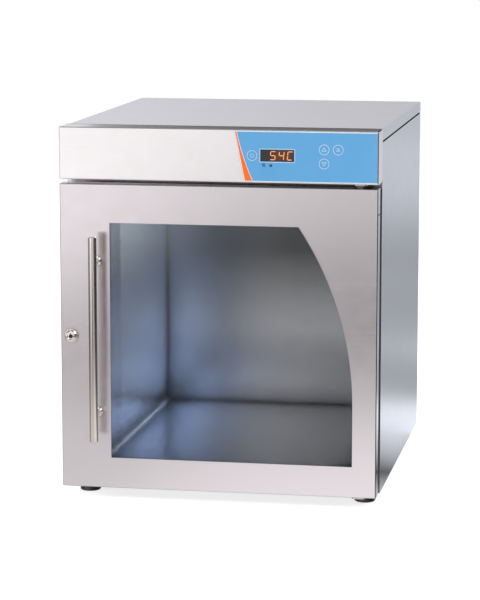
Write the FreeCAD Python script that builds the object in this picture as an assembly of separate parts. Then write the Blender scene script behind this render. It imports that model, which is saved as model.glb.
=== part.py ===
"""Countertop blanket warming cabinet, modelled as the sheet-metal product is built.

Millimetres. +X is the user's right, +Y runs from the door to the back, +Z is up.
The origin is on the ground under the middle of the whole outline, handle included.
"""
import FreeCAD, Part
import math
import os

V = FreeCAD.Vector
os.makedirs("parts", exist_ok=True)

# ---------------------------------------------------------------- driving sizes
# outline
cabinet_width = 600.0
cabinet_depth = 716.0        # door face to the rear lip of the top cover
sheet = 1.2                  # outer stainless sheet
liner_sheet = 1.0            # cavity liner and door pan sheet
bend_radius = 2.0            # outside radius of the visible folds
seam = 0.4                   # open joint between neighbouring folded shells
fit_gap = 0.2                # assembly clearance between sheet parts
running_gap = 0.05           # radial clearance of a turning or sliding fit
screw_gap = 0.2              # radial clearance of a screw in its hole
screw_tip_gap = 1.0          # bottom of a blind hole beyond its screw's tip
near_miss = 0.01             # two places closer than this count as the same
past = 1.0                   # how far a cutting shape reaches past the sheet it opens

# feet
foot_height = 23.0
foot_diameter = 40.0
foot_inset = 32.0            # foot axis to the side and front faces of the body
foot_pad_height = 20.0
foot_neck_diameter = 32.0
foot_edge = 2.0
stud_diameter = 8.0
stud_collar_flats = 17.0

# body shell
body_setback = 61.5          # door face to the front edges of the side panels
side_flange = 18.0           # front and rear flanges of the side panels
underside_flange = 10.0
cover_lip = 20.5             # depth of the top cover's side and rear lips
cover_hem = 11.0
shadow_gap = 3.5             # open line between the cover's lip and the side panel
shadow_depth = 6.0           # how far the side panel steps in behind that line
pan_flange = 12.0            # upturned flanges of the base pan
back_tuck = 14.5             # back panel behind the cover's rear lip

# heated cavity
left_wall = 68.0             # body side to cavity, on the lock side
right_wall = 42.0            # body side to cavity, on the hinge side
floor_wall = 44.0            # body underside to cavity floor
back_wall = 56.0             # rear of the cabinet to the cavity's back
cavity_height = 505.0
cavity_corner = 12.0         # outside radius of the liner's long corners
batt_thickness = 25.0        # insulation beside, behind and over the cavity

# silicone heater mats on the liner's outside
mat_thickness = 3.0
mat_rise = 420.0             # height of the two side mats
mat_margin = 50.0            # liner's ends to the mats

# hood over the door
hood_gap = 8.0               # door's upper edge to the hood
hood_height = 98.0
hood_step = 1.5              # hood above the top cover
service_post = 60.0          # width of the face frame's posts behind the hood
service_sill = 15.0          # frame's rail above the hood's underside

# door
door_sill = 4.0              # body underside to the door's lower edge
door_height = 579.5
door_shell_depth = 30.0
lock_stile = 95.5            # door's left edge to the window
hinge_stile = 45.0           # door's right edge to the window
lower_rail = 58.5
upper_rail = 72.5
sweep_radius = 600.0         # the window's curved side
sweep_start = 172.0          # door's lower edge to where the curve begins
relief_slot_height = 2.4
relief_slot_inset = 48.0     # door's ends to the slots in its hinge side
relief_slot_margin = 4.0

# door pan, glass and gasket
pan_step = 18.0              # how far the pan stands behind the door's shell
pan_inset_left = 51.0
pan_inset_right = 27.0
pan_inset_top = 5.0
pan_inset_bottom = 12.0
outer_glass_sheet = 5.0
inner_glass_sheet = 4.0
outer_glass_lap = 16.0       # outer pane behind the skin
inner_glass_lap = 10.0       # inner pane behind the pan
sight_left = 12.0            # pan's opening beyond the window, so that it stays hidden
sight_right = 4.0
sight_top = 4.0
sight_bottom = 14.0
spacer_width = 6.0
gasket_width = 12.0
gasket_taper = 3.0           # each side of the gasket narrows by this much
gasket_clearance = 0.5       # closed gasket to the face frame

# pull handle
pull_inset = 71.7            # door's left edge to the bar's axis
pull_height = 291.0          # door's lower edge to the middle of the bar and lock
pull_length = 388.0
pull_diameter = 16.0
pull_spacing = 288.0         # post to post
pull_standoff = 40.0         # door face to the bar's axis
pull_chamfer = 0.8
post_diameter = 12.0
post_base_diameter = 17.0    # a post's turned base against the door
post_base_height = 2.5
post_flare = 3.0             # length of the cone from the base to the post
post_socket = 4.0            # how far a post enters the bar
pull_screw_diameter = 5.0
pull_screw_grip = 12.0
pull_screw_flats = 8.0
pull_screw_head_height = 3.0

# pivot hinges
pivot_inset = 34.0           # door's right edge to the pivot axis
pivot_setback = 17.0         # door face to the pivot axis
pin_diameter = 8.0
pin_reach = 18.0             # pin inside the door
pin_head_diameter = 12.0
pin_head_height = 3.0
bush_wall = 2.0
bush_length = 20.0
washer_diameter = 22.0
bracket_width = 26.0
bracket_corner = 7.0
bracket_thickness = 3.0
bracket_nose = 8.0           # door face to the bracket's front edge
upper_leg = 30.0
lower_leg = 11.0
hinge_block_depth = 25.0
bracket_screw_diameter = 5.0
bracket_screw_flats = 8.0
bracket_screw_head_height = 2.5
bracket_screw_pitch = 14.0

# cam lock
lock_inset = 20.8            # door's left edge to the lock's axis
lock_head_diameter = 21.0
lock_head_height = 10.0
lock_head_edge = 2.0
lock_flange_diameter = 26.0
lock_flange_height = 2.0
lock_barrel_diameter = 18.8
lock_barrel_tail = 1.2       # barrel beyond the back of the door's shell
lock_nut_flats = 24.0
lock_nut_height = 4.0
plug_diameter = 13.0
plug_recess = 1.5
plug_square = 9.0            # the plug's tail, which carries the cam
keyway_diameter = 8.0        # round keyway of a tubular key
keyway_pin = 4.2             # pin that stands in the middle of the keyway
keyway_notch_width = 1.6
keyway_notch_reach = 5.6     # lock's axis to the outer end of the notch
keyway_depth = 8.0
cam_thickness = 2.0
cam_width = 10.0
cam_hub_diameter = 16.0
cam_reach = 19.0
cam_crank = 12.8             # how far the cam's arm stands behind its hub
cam_slope = 3.0              # height over which the crank runs back
cam_screw_diameter = 4.0
cam_screw_flats = 11.0
cam_screw_head_height = 3.0
cam_screw_grip = 9.0
keeper_height = 24.0
keeper_lip = 6.0
keeper_foot = 16.0
keeper_gap = 1.5             # cam's arm to the keeper's lip

# control panel
overlay_thickness = 1.2
overlay_side_margin = 2.0
overlay_top_margin = 2.5
overlay_bottom_margin = 2.5
overlay_top_width = 265.0
overlay_bottom_width = 246.0
display_width = 63.0
display_height = 22.0
display_offset = 185.2       # overlay's right edge to the display's middle
display_rise = 50.9          # hood's underside to the display's middle
module_margin = 1.0          # display module inside the display's opening
window_thickness = 2.4
window_proud = 0.9           # how far the lens stands before the hood's face
key_diameter = 20.0
key_thickness = 0.9
key_proud = 0.3              # how far a key stands before the overlay
key_travel = 0.4
key_rim_gap = 0.15
stem_width = 6.0             # stems are square
stem_length = 5.6
stem_lug = 1.5               # stop lugs beside the stem, behind the hood's front
stem_lug_height = 1.0
power_key_offset = 232.1
power_key_rise = 50.5
key_column_offset = 98.2
key_pitch = 26.0
upper_key_rise = 63.3
board_thickness = 1.6
board_setback = 9.0          # hood's inner face to the board
board_margin = 18.0
board_height = 58.0
standoff_flats = 6.0
standoff_inset = 6.0
switch_size = 6.0
switch_height = 3.5
switch_button_width = 3.5

# electrics in the bay over the cavity
supply_length = 120.0
supply_width = 80.0
supply_height = 48.0
supply_setback = 150.0       # face frame to the power supply
supply_strip_width = 53.0
supply_strip_depth = 10.0
supply_strip_rise = 6.0
supply_strip_height = 14.0
supply_ear = 8.0
supply_ear_inset = 15.0
relay_length = 58.0
relay_width = 45.0
relay_height = 24.0
sink_height = 22.0
sink_base = 4.0
sink_fins = 6
sink_fin_thickness = 2.5
ribbon_width = 25.0
ribbon_thickness = 1.5
ribbon_bend = 40.0           # face frame to where the ribbon drops to the deck
ribbon_connector_rise = 30.0
thermostat_width = 24.0
thermostat_flange = 2.0
thermostat_height = 14.0
thermostat_cap_diameter = 16.0
thermostat_tab_pitch = 8.0
thermostat_tab_height = 8.0
thermostat_tab_width = 6.0
thermostat_tab_sheet = 0.8

# temperature probe and its guard at the top of the cavity's back wall
probe_diameter = 6.0
probe_length = 28.0          # probe inside the cavity
probe_drop = 24.0            # cavity ceiling to the probe's axis
probe_tail = 20.0
probe_shoulder = 5.0
probe_shoulder_flats = 14.0
guard_width = 30.0
guard_depth = 34.0
guard_height = 24.0
guard_foot = 12.0

# back panel
louvre_width = 110.0
louvre_height = 7.0
louvre_pitch = 16.0
louvre_rows = 4
louvre_columns = 2
louvre_spacing = 140.0
louvre_drop = 32.0           # cover's top to the uppermost louvre
louvre_wall = 0.8            # sheet of the pressed hoods
back_screw_diameter = 4.0
back_screw_flats = 7.0
back_screw_rows = 2
back_screw_margin = 28.0
inlet_width = 28.0
inlet_height = 22.0
inlet_depth = 24.0
inlet_flange_width = 50.0
inlet_flange_lap = 3.0       # flange over and under the housing
inlet_wall = 2.0
inlet_inset = 100.0          # body's right side to the middle of the mains inlet
inlet_rise = 40.0            # equipment deck to the inlet's middle
inlet_recess = 17.0
inlet_blade_length = 10.0
inlet_blade_width = 4.0
inlet_blade_thickness = 2.0
inlet_blade_pitch = 14.0
inlet_blade_rise = 3.0       # outer blades over the middle of the socket, earth blade under it

# ---------------------------------------------------------------- derived places
half_width = cabinet_width / 2
handle_reach = pull_standoff + pull_diameter / 2
face_y = (handle_reach - cabinet_depth) / 2
rear_y = face_y + cabinet_depth
body_y = face_y + body_setback

body_z = foot_height
base_top = body_z + 2 * sheet
door_z = body_z + door_sill
door_top = door_z + door_height
hood_z = door_top + hood_gap
hood_top = hood_z + hood_height
cover_top = hood_top - hood_step
cover_under = cover_top - sheet
lip_z = cover_top - cover_lip
side_top = lip_z - shadow_gap

frame_y = body_y + sheet               # front surface of the face frame
frame_back = frame_y + sheet
back_y = rear_y - 2 * sheet            # inner surface of the back panel
flange_y = back_y - sheet              # inner surface of the side panels' rear flanges
bay_rear = flange_y - sheet            # rear end of the insulation

cavity_left = -half_width + left_wall
cavity_right = half_width - right_wall
cavity_z = body_z + floor_wall
cavity_top = cavity_z + cavity_height
cavity_back = rear_y - back_wall
liner_left = cavity_left - liner_sheet
liner_right = cavity_right + liner_sheet
liner_z = cavity_z - liner_sheet
liner_top = cavity_top + liner_sheet
liner_back = cavity_back + liner_sheet
batt_front = frame_back + sheet
batt_top = liner_top + batt_thickness
deck_top = batt_top + sheet
batt_left = liner_left - mat_thickness - fit_gap
batt_right = liner_right + mat_thickness + fit_gap
batt_under = liner_z - mat_thickness - fit_gap

window_left = -half_width + lock_stile
window_right = half_width - hinge_stile
window_z = door_z + lower_rail
window_top = door_top - upper_rail
sweep_z = door_z + sweep_start
shell_y = face_y + door_shell_depth    # rear edge of the door's shell
pan_y = shell_y + pan_step             # rear face of the door's pan
pan_left = -half_width + pan_inset_left
pan_right = half_width - pan_inset_right
pan_z = door_z + pan_inset_bottom
pan_top = door_top - pan_inset_top
sight = (window_left - sight_left, window_right + sight_right,
         window_z - sight_bottom, window_top + sight_top)
outer_pane = (window_left - outer_glass_lap, window_right + outer_glass_lap,
              window_z - outer_glass_lap, window_top + outer_glass_lap)
inner_pane = (sight[0] - inner_glass_lap, sight[1] + inner_glass_lap,
              sight[2] - inner_glass_lap, sight[3] + inner_glass_lap)
outer_pane_y = face_y + sheet
spacer_y = outer_pane_y + outer_glass_sheet
inner_pane_y = pan_y - liner_sheet - inner_glass_sheet
gasket_y = frame_y - gasket_clearance

pivot_x = half_width - pivot_inset
pivot_y = face_y + pivot_setback
pull_x = -half_width + pull_inset
pull_y = face_y - pull_standoff
pull_z = door_z + pull_height
lock_x = -half_width + lock_inset
lock_z = pull_z
barrel_end = shell_y + lock_barrel_tail
cam_y = barrel_end + fit_gap
arm_y = cam_y + cam_crank

overlay_right = half_width - overlay_side_margin
overlay_y = face_y - overlay_thickness
display_x = overlay_right - display_offset
display_z = hood_z + display_rise
keys = {
    "power_key": (overlay_right - power_key_offset, hood_z + power_key_rise),
    "up_key": (overlay_right - key_column_offset, hood_z + upper_key_rise),
    "down_key": (overlay_right - key_column_offset, hood_z + upper_key_rise - key_pitch),
    "set_key": (overlay_right - key_column_offset + key_pitch, hood_z + upper_key_rise),
}
panel_back = face_y + sheet            # inner surface of the hood's front
board_y = panel_back + board_setback
board_left = keys["power_key"][0] - board_margin
board_right = keys["set_key"][0] + board_margin
board_z = display_z - board_height / 2


# ---------------------------------------------------------------- building blocks
def box(x0, x1, y0, y1, z0, z1):
    return Part.makeBox(x1 - x0, y1 - y0, z1 - z0, V(x0, y0, z0))


def rod(x, y, z, direction, length, diameter):
    return Part.makeCylinder(diameter / 2, length, V(x, y, z), direction)


def along_y(x, z, y0, y1, diameter):
    return rod(x, y0, z, V(0, 1, 0), y1 - y0, diameter)


def upright(x, y, z0, z1, diameter):
    return rod(x, y, z0, V(0, 0, 1), z1 - z0, diameter)


def square_along_y(x, z, y0, y1, width):
    half = width / 2
    return box(x - half, x + half, y0, y1, z - half, z + half)


def prism(points, direction):
    """Extrude the closed outline through points along direction."""
    wire = Part.makePolygon(points + [points[0]])
    return Part.Face(wire).extrude(direction)


def hexagon_along_y(x, z, y0, y1, flats):
    radius = flats / math.sqrt(3)
    corners = []
    for step in range(6):
        angle = math.radians(60 * step)
        corners.append(V(x + radius * math.cos(angle), y0, z + radius * math.sin(angle)))
    return prism(corners, V(0, y1 - y0, 0))


def hexagon_upright(x, y, z0, z1, flats):
    radius = flats / math.sqrt(3)
    corners = []
    for step in range(6):
        angle = math.radians(60 * step)
        corners.append(V(x + radius * math.cos(angle), y + radius * math.sin(angle), z0))
    return prism(corners, V(0, 0, z1 - z0))


def spin_about_y(profile, x, y, z):
    """Revolve (radius, offset) pairs about the axis along +Y through the point."""
    points = [V(x + radius, y + offset, z) for radius, offset in profile]
    wire = Part.makePolygon(points + [points[0]])
    return Part.Face(wire).revolve(V(x, y, z), V(0, 1, 0), 360)


def spin_upright(profile, x, y):
    """Revolve (radius, height) pairs about the vertical axis through the point."""
    points = [V(x + radius, y, height) for radius, height in profile]
    wire = Part.makePolygon(points + [points[0]])
    return Part.Face(wire).revolve(V(x, y, 0), V(0, 0, 1), 360)


def fold(shape, radius, chosen):
    """Round the edges whose middle point passes the test."""
    edges = []
    for edge in shape.Edges:
        if chosen(edge.CenterOfMass, edge.tangentAt(edge.FirstParameter)):
            edges.append(edge)
    return shape.makeFillet(radius, edges)


def near(a, b):
    return abs(a - b) < near_miss


def cut_all(shape, tools):
    for tool in tools:
        shape = shape.cut(tool)
    return shape


def fuse_all(shapes):
    result = shapes[0]
    for shape in shapes[1:]:
        result = result.fuse(shape)
    return result.removeSplitter()


# ---------------------------------------------------------------- feet
def foot_places():
    front = body_y + foot_inset
    rear = rear_y - foot_inset
    side = half_width - foot_inset
    return [(x, y) for x in (-side, side) for y in (front, rear)]


def foot_pads():
    radius = foot_diameter / 2
    profile = [(0, 0), (radius - foot_edge, 0), (radius, foot_edge),
               (foot_neck_diameter / 2, foot_pad_height), (0, foot_pad_height)]
    return [spin_upright(profile, x, y) for x, y in foot_places()]


def foot_studs():
    studs = []
    for x, y in foot_places():
        stud = upright(x, y, foot_pad_height, base_top, stud_diameter)
        collar = hexagon_upright(x, y, foot_pad_height, body_z + sheet, stud_collar_flats)
        studs.append(fuse_all([stud, collar]))
    return studs


# ---------------------------------------------------------------- body shell
def side_panel(side):
    """One side panel, +1 on the right: wall, step under the cover, and four flanges."""
    outer = side * half_width
    wall = side * (half_width - sheet)
    step = side * (half_width - shadow_depth)
    step_inner = side * (half_width - shadow_depth - sheet)
    hem = side * (half_width - underside_flange)
    section = [(outer, body_z), (outer, side_top), (step, side_top), (step, cover_under),
               (step_inner, cover_under), (step_inner, side_top - sheet),
               (wall, side_top - sheet), (wall, body_z + sheet), (hem, body_z + sheet),
               (hem, body_z)]
    points = [V(x, body_y, z) for x, z in section]
    panel = prism(points, V(0, rear_y - sheet - body_y, 0))
    inner = side * (half_width - side_flange)
    low, high = sorted((inner, wall))
    front = box(low, high, body_y, frame_y, body_z, side_top - sheet)
    rear = box(low, high, flange_y, back_y, base_top, side_top - sheet)
    panel = fuse_all([panel, front, rear])
    panel = fold(panel, bend_radius, lambda middle, run: near(middle.x, outer)
                 and near(middle.y, body_y) and abs(run.z) > 0.99)
    limit = half_width - sheet
    panel = panel.cut(box(-limit, limit, back_y, rear_y, base_top, cover_top))
    panel = panel.cut(box(-limit, limit, body_y - past, frame_y + fit_gap,
                          cover_top - cover_hem - fit_gap, cover_top))
    return cut_all(panel, back_screw_holes())


def top_cover():
    outer = box(-half_width, half_width, body_y, rear_y, lip_z, cover_top)
    outer = fold(outer, bend_radius, lambda middle, run: near(middle.z, cover_top)
                 and not near(middle.y, body_y))
    inner = box(-half_width + sheet, half_width - sheet, body_y - past, rear_y - sheet,
                lip_z - past, cover_under)
    hem = box(-half_width + sheet, half_width - sheet, body_y, frame_y,
              cover_top - cover_hem, cover_under)
    return fuse_all([outer.cut(inner), hem])


def back_panel():
    top = lip_z + back_tuck
    limit = half_width - sheet - fit_gap
    panel = box(-limit, limit, back_y, rear_y - sheet, base_top, top)
    for x, z in louvre_places():
        panel = panel.cut(box(x - louvre_width / 2, x + louvre_width / 2,
                              back_y - past, rear_y, z, z + louvre_height))
    panel = fuse_all([panel] + louvre_hoods())
    panel = panel.cut(inlet_cutout())
    return cut_all(panel, back_screw_holes())


def louvre_places():
    first = cover_top - louvre_drop - louvre_height
    places = []
    for row in range(louvre_rows):
        for column in range(louvre_columns):
            x = (column - (louvre_columns - 1) / 2) * louvre_spacing
            places.append((x, first - row * louvre_pitch))
    return places


def louvre_hoods():
    """Pressed hoods that lean out over each slot and close its ends."""
    hoods = []
    plane = rear_y - sheet
    lip = louvre_wall
    for x, z in louvre_places():
        top = z + louvre_height
        section = [(plane - sheet, top + lip), (plane, top + lip), (rear_y, top - lip),
                   (rear_y, z), (rear_y - lip, z), (rear_y - lip, top - 2 * lip),
                   (plane - sheet, top)]
        points = [V(x - louvre_width / 2, y, height) for y, height in section]
        hoods.append(prism(points, V(louvre_width, 0, 0)))
    return hoods


def back_screw_places():
    low = base_top + back_screw_margin
    high = side_top - back_screw_margin
    across = half_width - side_flange / 2 - sheet
    rows = [low + (high - low) * row / (back_screw_rows - 1) for row in range(back_screw_rows)]
    return [(x, z) for x in (-across, across) for z in rows]


def back_screw_holes():
    diameter = back_screw_diameter + 2 * screw_gap
    return [along_y(x, z, flange_y - past, rear_y, diameter) for x, z in back_screw_places()]


def back_screws():
    screws = []
    for x, z in back_screw_places():
        shank = along_y(x, z, flange_y, rear_y - sheet, back_screw_diameter)
        head = hexagon_along_y(x, z, rear_y - sheet, rear_y, back_screw_flats)
        screws.append(fuse_all([shank, head]))
    return screws


def base_pan():
    limit = half_width - sheet - fit_gap
    floor = box(-limit, limit, frame_back, flange_y, body_z + sheet, base_top)
    front = box(-limit, limit, frame_back, batt_front, base_top, base_top + pan_flange)
    rear = box(-limit, limit, bay_rear, flange_y, base_top, base_top + pan_flange)
    pan = fuse_all([floor, front, rear])
    holes = [upright(x, y, body_z, base_top + past, stud_diameter + 2 * screw_gap)
             for x, y in foot_places()]
    return cut_all(pan, holes)


def face_frame():
    """Front plate around the cavity, with two posts that carry the hood and hinge."""
    limit = half_width - sheet - fit_gap
    top = side_top - sheet - fit_gap
    plate = box(-limit, limit, frame_y, frame_back, base_top, top)
    plate = plate.cut(liner_block(frame_y - past, frame_back + past, 0))
    opening = half_width - service_post
    plate = plate.cut(box(-opening, opening, frame_y - past, frame_back + past,
                          hood_z + service_sill, top + past))
    return cut_all(plate, bracket_screw_holes())


# ---------------------------------------------------------------- cavity
def liner_block(y0, y1, inset):
    """The liner's outside outline, rounded along its four long corners, less an inset."""
    block = box(liner_left + inset, liner_right - inset, y0, y1,
                liner_z + inset, liner_top - inset)
    return fold(block, cavity_corner - inset, lambda middle, run: abs(run.y) > 0.99)


def cavity_liner():
    shell = liner_block(frame_y, liner_back, 0)
    hollow = liner_block(frame_y - past, cavity_back, liner_sheet)
    x, z = probe_place()
    tail_hole = along_y(x, z, cavity_back - past, liner_back + past, probe_diameter + 2 * screw_gap)
    return shell.cut(hollow).cut(tail_hole)


def insulation_sides():
    left = box(batt_left - batt_thickness, batt_left, batt_front, bay_rear, base_top, batt_top)
    right = box(batt_right, batt_right + batt_thickness, batt_front, bay_rear, base_top,
                batt_top)
    return [left, right]


def insulation_floor():
    return box(batt_left, batt_right, batt_front, bay_rear, base_top, batt_under)


def insulation_top():
    batt = box(batt_left, batt_right, batt_front, bay_rear, liner_top, batt_top)
    x, y = thermostat_place()
    half = thermostat_width / 2 + screw_gap
    return batt.cut(box(x - half, x + half, y - half, y + half, liner_top - past, batt_top + past))


def insulation_back():
    batt = box(batt_left, batt_right, liner_back, liner_back + batt_thickness,
               batt_under, liner_top)
    x, z = probe_place()
    half = probe_diameter / 2 + screw_gap
    pocket = box(x - half, x + half, liner_back - past, liner_back + probe_tail + screw_gap,
                 z - half, liner_top + past)
    return batt.cut(pocket)


def heater_mats():
    """Flat silicone mats bonded under the liner and on its two sides."""
    front = frame_back + mat_margin
    rear = liner_back - mat_margin
    low = liner_z + cavity_corner
    floor = box(liner_left + cavity_corner, liner_right - cavity_corner, front, rear,
                liner_z - mat_thickness, liner_z)
    left = box(liner_left - mat_thickness, liner_left, front, rear, low, low + mat_rise)
    right = box(liner_right, liner_right + mat_thickness, front, rear, low, low + mat_rise)
    return [floor, left, right]


def probe_place():
    return (cavity_left + cavity_right) / 2, cavity_top - probe_drop


def temperature_probe():
    """Straight probe through the cavity's back wall, with a hexagonal shoulder."""
    x, z = probe_place()
    rod_part = along_y(x, z, cavity_back - probe_length, liner_back + probe_tail, probe_diameter)
    shoulder = hexagon_along_y(x, z, cavity_back - probe_shoulder, cavity_back,
                               probe_shoulder_flats)
    return fuse_all([rod_part, shoulder])


def probe_guard():
    """Bent strip over the probe, open at its two ends, with feet on the back wall."""
    x, z = probe_place()
    inner = guard_width / 2 - liner_sheet
    outer = guard_width / 2
    foot = outer + guard_foot
    top = cavity_back - guard_depth
    floor = cavity_back
    section = [(-foot, floor), (-foot, floor - liner_sheet), (-outer, floor - liner_sheet),
               (-outer, top), (outer, top), (outer, floor - liner_sheet),
               (foot, floor - liner_sheet), (foot, floor), (inner, floor),
               (inner, top + liner_sheet), (-inner, top + liner_sheet), (-inner, floor)]
    points = [V(x + across, y, z - guard_height / 2) for across, y in section]
    return prism(points, V(0, 0, guard_height))


# ---------------------------------------------------------------- bay over the cavity
def equipment_deck():
    limit = half_width - sheet - fit_gap
    return box(-limit, limit, frame_back, flange_y, batt_top, deck_top)


def supply_place():
    return display_x, frame_back + supply_setback


def power_supply():
    """Closed supply with two mounting ears and a terminal strip at its front."""
    x, y = supply_place()
    body = box(x - supply_width / 2, x + supply_width / 2, y, y + supply_length,
               deck_top, deck_top + supply_height)
    ears = box(x - supply_width / 2 - supply_ear, x + supply_width / 2 + supply_ear,
               y + supply_ear_inset, y + supply_length - supply_ear_inset,
               deck_top, deck_top + sheet)
    strip_z = deck_top + supply_strip_rise
    strip = box(x - supply_strip_width / 2, x + supply_strip_width / 2, y - supply_strip_depth, y,
                strip_z, strip_z + supply_strip_height)
    return fuse_all([body, ears, strip])


def power_relay():
    """Solid-state relay on its finned heat sink."""
    x = -supply_place()[0]
    y = supply_place()[1]
    base = box(x - relay_length / 2, x + relay_length / 2, y, y + relay_width,
               deck_top, deck_top + sink_base)
    parts = [base]
    pitch = (relay_length - sink_fin_thickness) / (sink_fins - 1)
    for number in range(sink_fins):
        left = x - relay_length / 2 + number * pitch
        parts.append(box(left, left + sink_fin_thickness, y, y + relay_width,
                         deck_top + sink_base, deck_top + sink_height))
    parts.append(box(x - relay_length / 2, x + relay_length / 2, y, y + relay_width,
                     deck_top + sink_height, deck_top + sink_height + relay_height))
    return fuse_all(parts)


def thermostat_place():
    return (cavity_left + cavity_right) / 2, (frame_y + cavity_back) / 2


def limit_thermostat():
    """High-limit cut-out: square flange on the liner, round cap, two spade tabs."""
    x, y = thermostat_place()
    half = thermostat_width / 2
    cap_z = liner_top + thermostat_flange
    tab_z = liner_top + thermostat_height
    flange = box(x - half, x + half, y - half, y + half, liner_top, cap_z)
    cap = upright(x, y, cap_z, tab_z, thermostat_cap_diameter)
    tabs = []
    for side in (-1, 1):
        middle = y + side * thermostat_tab_pitch / 2
        tabs.append(box(x - thermostat_tab_width / 2, x + thermostat_tab_width / 2,
                        middle - thermostat_tab_sheet / 2, middle + thermostat_tab_sheet / 2,
                        tab_z, tab_z + thermostat_tab_height))
    return fuse_all([flange, cap] + tabs)


def ribbon_cable():
    """Flat cable from the control board's back, down over the frame, to the supply."""
    x, y = supply_place()
    start_y = board_y + board_thickness
    rest_z = deck_top + supply_strip_rise
    high = board_z + ribbon_connector_rise
    over = frame_y + ribbon_bend
    line = [(start_y, high), (over, high), (over, rest_z), (y - supply_strip_depth, rest_z)]
    t = ribbon_thickness
    section = [(line[0][0], line[0][1]), (line[1][0] + t, line[1][1]),
               (line[2][0] + t, line[2][1] + t), (line[3][0], line[3][1] + t),
               (line[3][0], line[3][1]), (line[2][0], line[2][1]),
               (line[1][0], line[1][1] - t), (line[0][0], line[0][1] - t)]
    points = [V(x - ribbon_width / 2, across, height) for across, height in section]
    return prism(points, V(ribbon_width, 0, 0))


# ---------------------------------------------------------------- mains inlet
def inlet_place():
    return half_width - inlet_inset, deck_top + inlet_rise


def inlet_cutout():
    x, z = inlet_place()
    return box(x - inlet_width / 2 - fit_gap, x + inlet_width / 2 + fit_gap,
               back_y - past, rear_y, z - inlet_height / 2 - fit_gap,
               z + inlet_height / 2 + fit_gap)


def power_inlet():
    """Mains appliance inlet: flange, housing with its socket, and three blades."""
    x, z = inlet_place()
    plane = rear_y - sheet
    housing = box(x - inlet_width / 2, x + inlet_width / 2, plane - inlet_depth, plane,
                  z - inlet_height / 2, z + inlet_height / 2)
    flange = box(x - inlet_flange_width / 2, x + inlet_flange_width / 2, plane, rear_y,
                 z - inlet_height / 2 - inlet_flange_lap, z + inlet_height / 2 + inlet_flange_lap)
    body = fuse_all([housing, flange])
    recess = box(x - inlet_width / 2 + inlet_wall, x + inlet_width / 2 - inlet_wall,
                 rear_y - inlet_recess, rear_y + past,
                 z - inlet_height / 2 + inlet_wall, z + inlet_height / 2 - inlet_wall)
    body = body.cut(recess)
    floor = rear_y - inlet_recess
    blades = []
    for across, rise in ((-0.5, 1), (0.5, 1), (0, -1)):
        blade_x = x + across * inlet_blade_pitch
        blade_z = z + rise * inlet_blade_rise
        blades.append(box(blade_x - inlet_blade_thickness / 2, blade_x + inlet_blade_thickness / 2,
                          floor, floor + inlet_blade_length,
                          blade_z - inlet_blade_width / 2, blade_z + inlet_blade_width / 2))
    return fuse_all([body] + blades)


# ---------------------------------------------------------------- hood and control panel
def hood():
    """Folded hood, open at the back, pierced for the display, keys and hinge pin."""
    rear = body_y - seam
    outer = box(-half_width, half_width, face_y, rear, hood_z, hood_top)
    outer = fold(outer, bend_radius, lambda middle, run: near(middle.y, face_y)
                 or (near(middle.z, hood_top) and abs(run.y) > 0.99))
    inner = box(-half_width + sheet, half_width - sheet, panel_back, rear + past,
                hood_z + sheet, hood_top - sheet)
    shell = outer.cut(inner)
    tools = [display_cutout(face_y - past, panel_back + past)]
    for x, z in keys.values():
        tools.append(square_along_y(x, z, face_y - past, panel_back + past,
                                    stem_width + 2 * running_gap))
    tools.append(upright(pivot_x, pivot_y, hood_z - past, hood_z + sheet + past,
                         pin_head_diameter + 2 * fit_gap))
    tools.append(box(pivot_x - bracket_width / 2 - fit_gap, pivot_x + bracket_width / 2 + fit_gap,
                     frame_y - bracket_thickness - fit_gap, rear + past,
                     hood_z - past, hood_z + sheet + past))
    return cut_all(shell, tools)


def display_cutout(y0, y1):
    return box(display_x - display_width / 2, display_x + display_width / 2, y0, y1,
               display_z - display_height / 2, display_z + display_height / 2)


def membrane_overlay():
    """Printed membrane with a slanted left end, cut out for the display and the keys."""
    low = hood_z + overlay_bottom_margin
    high = hood_top - overlay_top_margin
    outline = [V(overlay_right - overlay_bottom_width, overlay_y, low),
               V(overlay_right, overlay_y, low), V(overlay_right, overlay_y, high),
               V(overlay_right - overlay_top_width, overlay_y, high)]
    plate = prism(outline, V(0, overlay_thickness, 0))
    tools = [display_cutout(overlay_y - past, face_y + past)]
    for x, z in keys.values():
        tools.append(along_y(x, z, overlay_y - past, face_y + past, key_diameter + 2 * key_rim_gap))
    return cut_all(plate, tools)


def display_window():
    front = face_y - window_proud
    return box(display_x - display_width / 2 + fit_gap, display_x + display_width / 2 - fit_gap,
               front, front + window_thickness,
               display_z - display_height / 2 + fit_gap,
               display_z + display_height / 2 - fit_gap)


def display_module():
    """Four-digit light module between the lens and the board."""
    front = face_y - window_proud + window_thickness
    across = display_width / 2 - module_margin
    rise = display_height / 2 - module_margin
    return box(display_x - across, display_x + across, front, board_y,
               display_z - rise, display_z + rise)


def key_cap(name):
    """Key disc with the square stem that slides in the hood's front, and stop lugs."""
    x, z = keys[name]
    front = overlay_y - key_proud
    disc = along_y(x, z, front, front + key_thickness, key_diameter)
    back = front + key_thickness
    stem = square_along_y(x, z, back, back + stem_length, stem_width)
    lug_y = panel_back + running_gap
    lugs = box(x - stem_width / 2 - stem_lug, x + stem_width / 2 + stem_lug,
               lug_y, lug_y + stem_lug_height, z - stem_width / 2, z + stem_width / 2)
    return fuse_all([disc, stem, lugs])


def key_switches():
    stem_end = overlay_y - key_proud + key_thickness + stem_length
    top = stem_end + key_travel + running_gap
    switches = []
    for x, z in keys.values():
        body = square_along_y(x, z, board_y - switch_height, board_y, switch_size)
        button = square_along_y(x, z, top, board_y - switch_height, switch_button_width)
        switches.append(fuse_all([body, button]))
    return switches


def control_board():
    return box(board_left, board_right, board_y, board_y + board_thickness,
               board_z, board_z + board_height)


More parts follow.
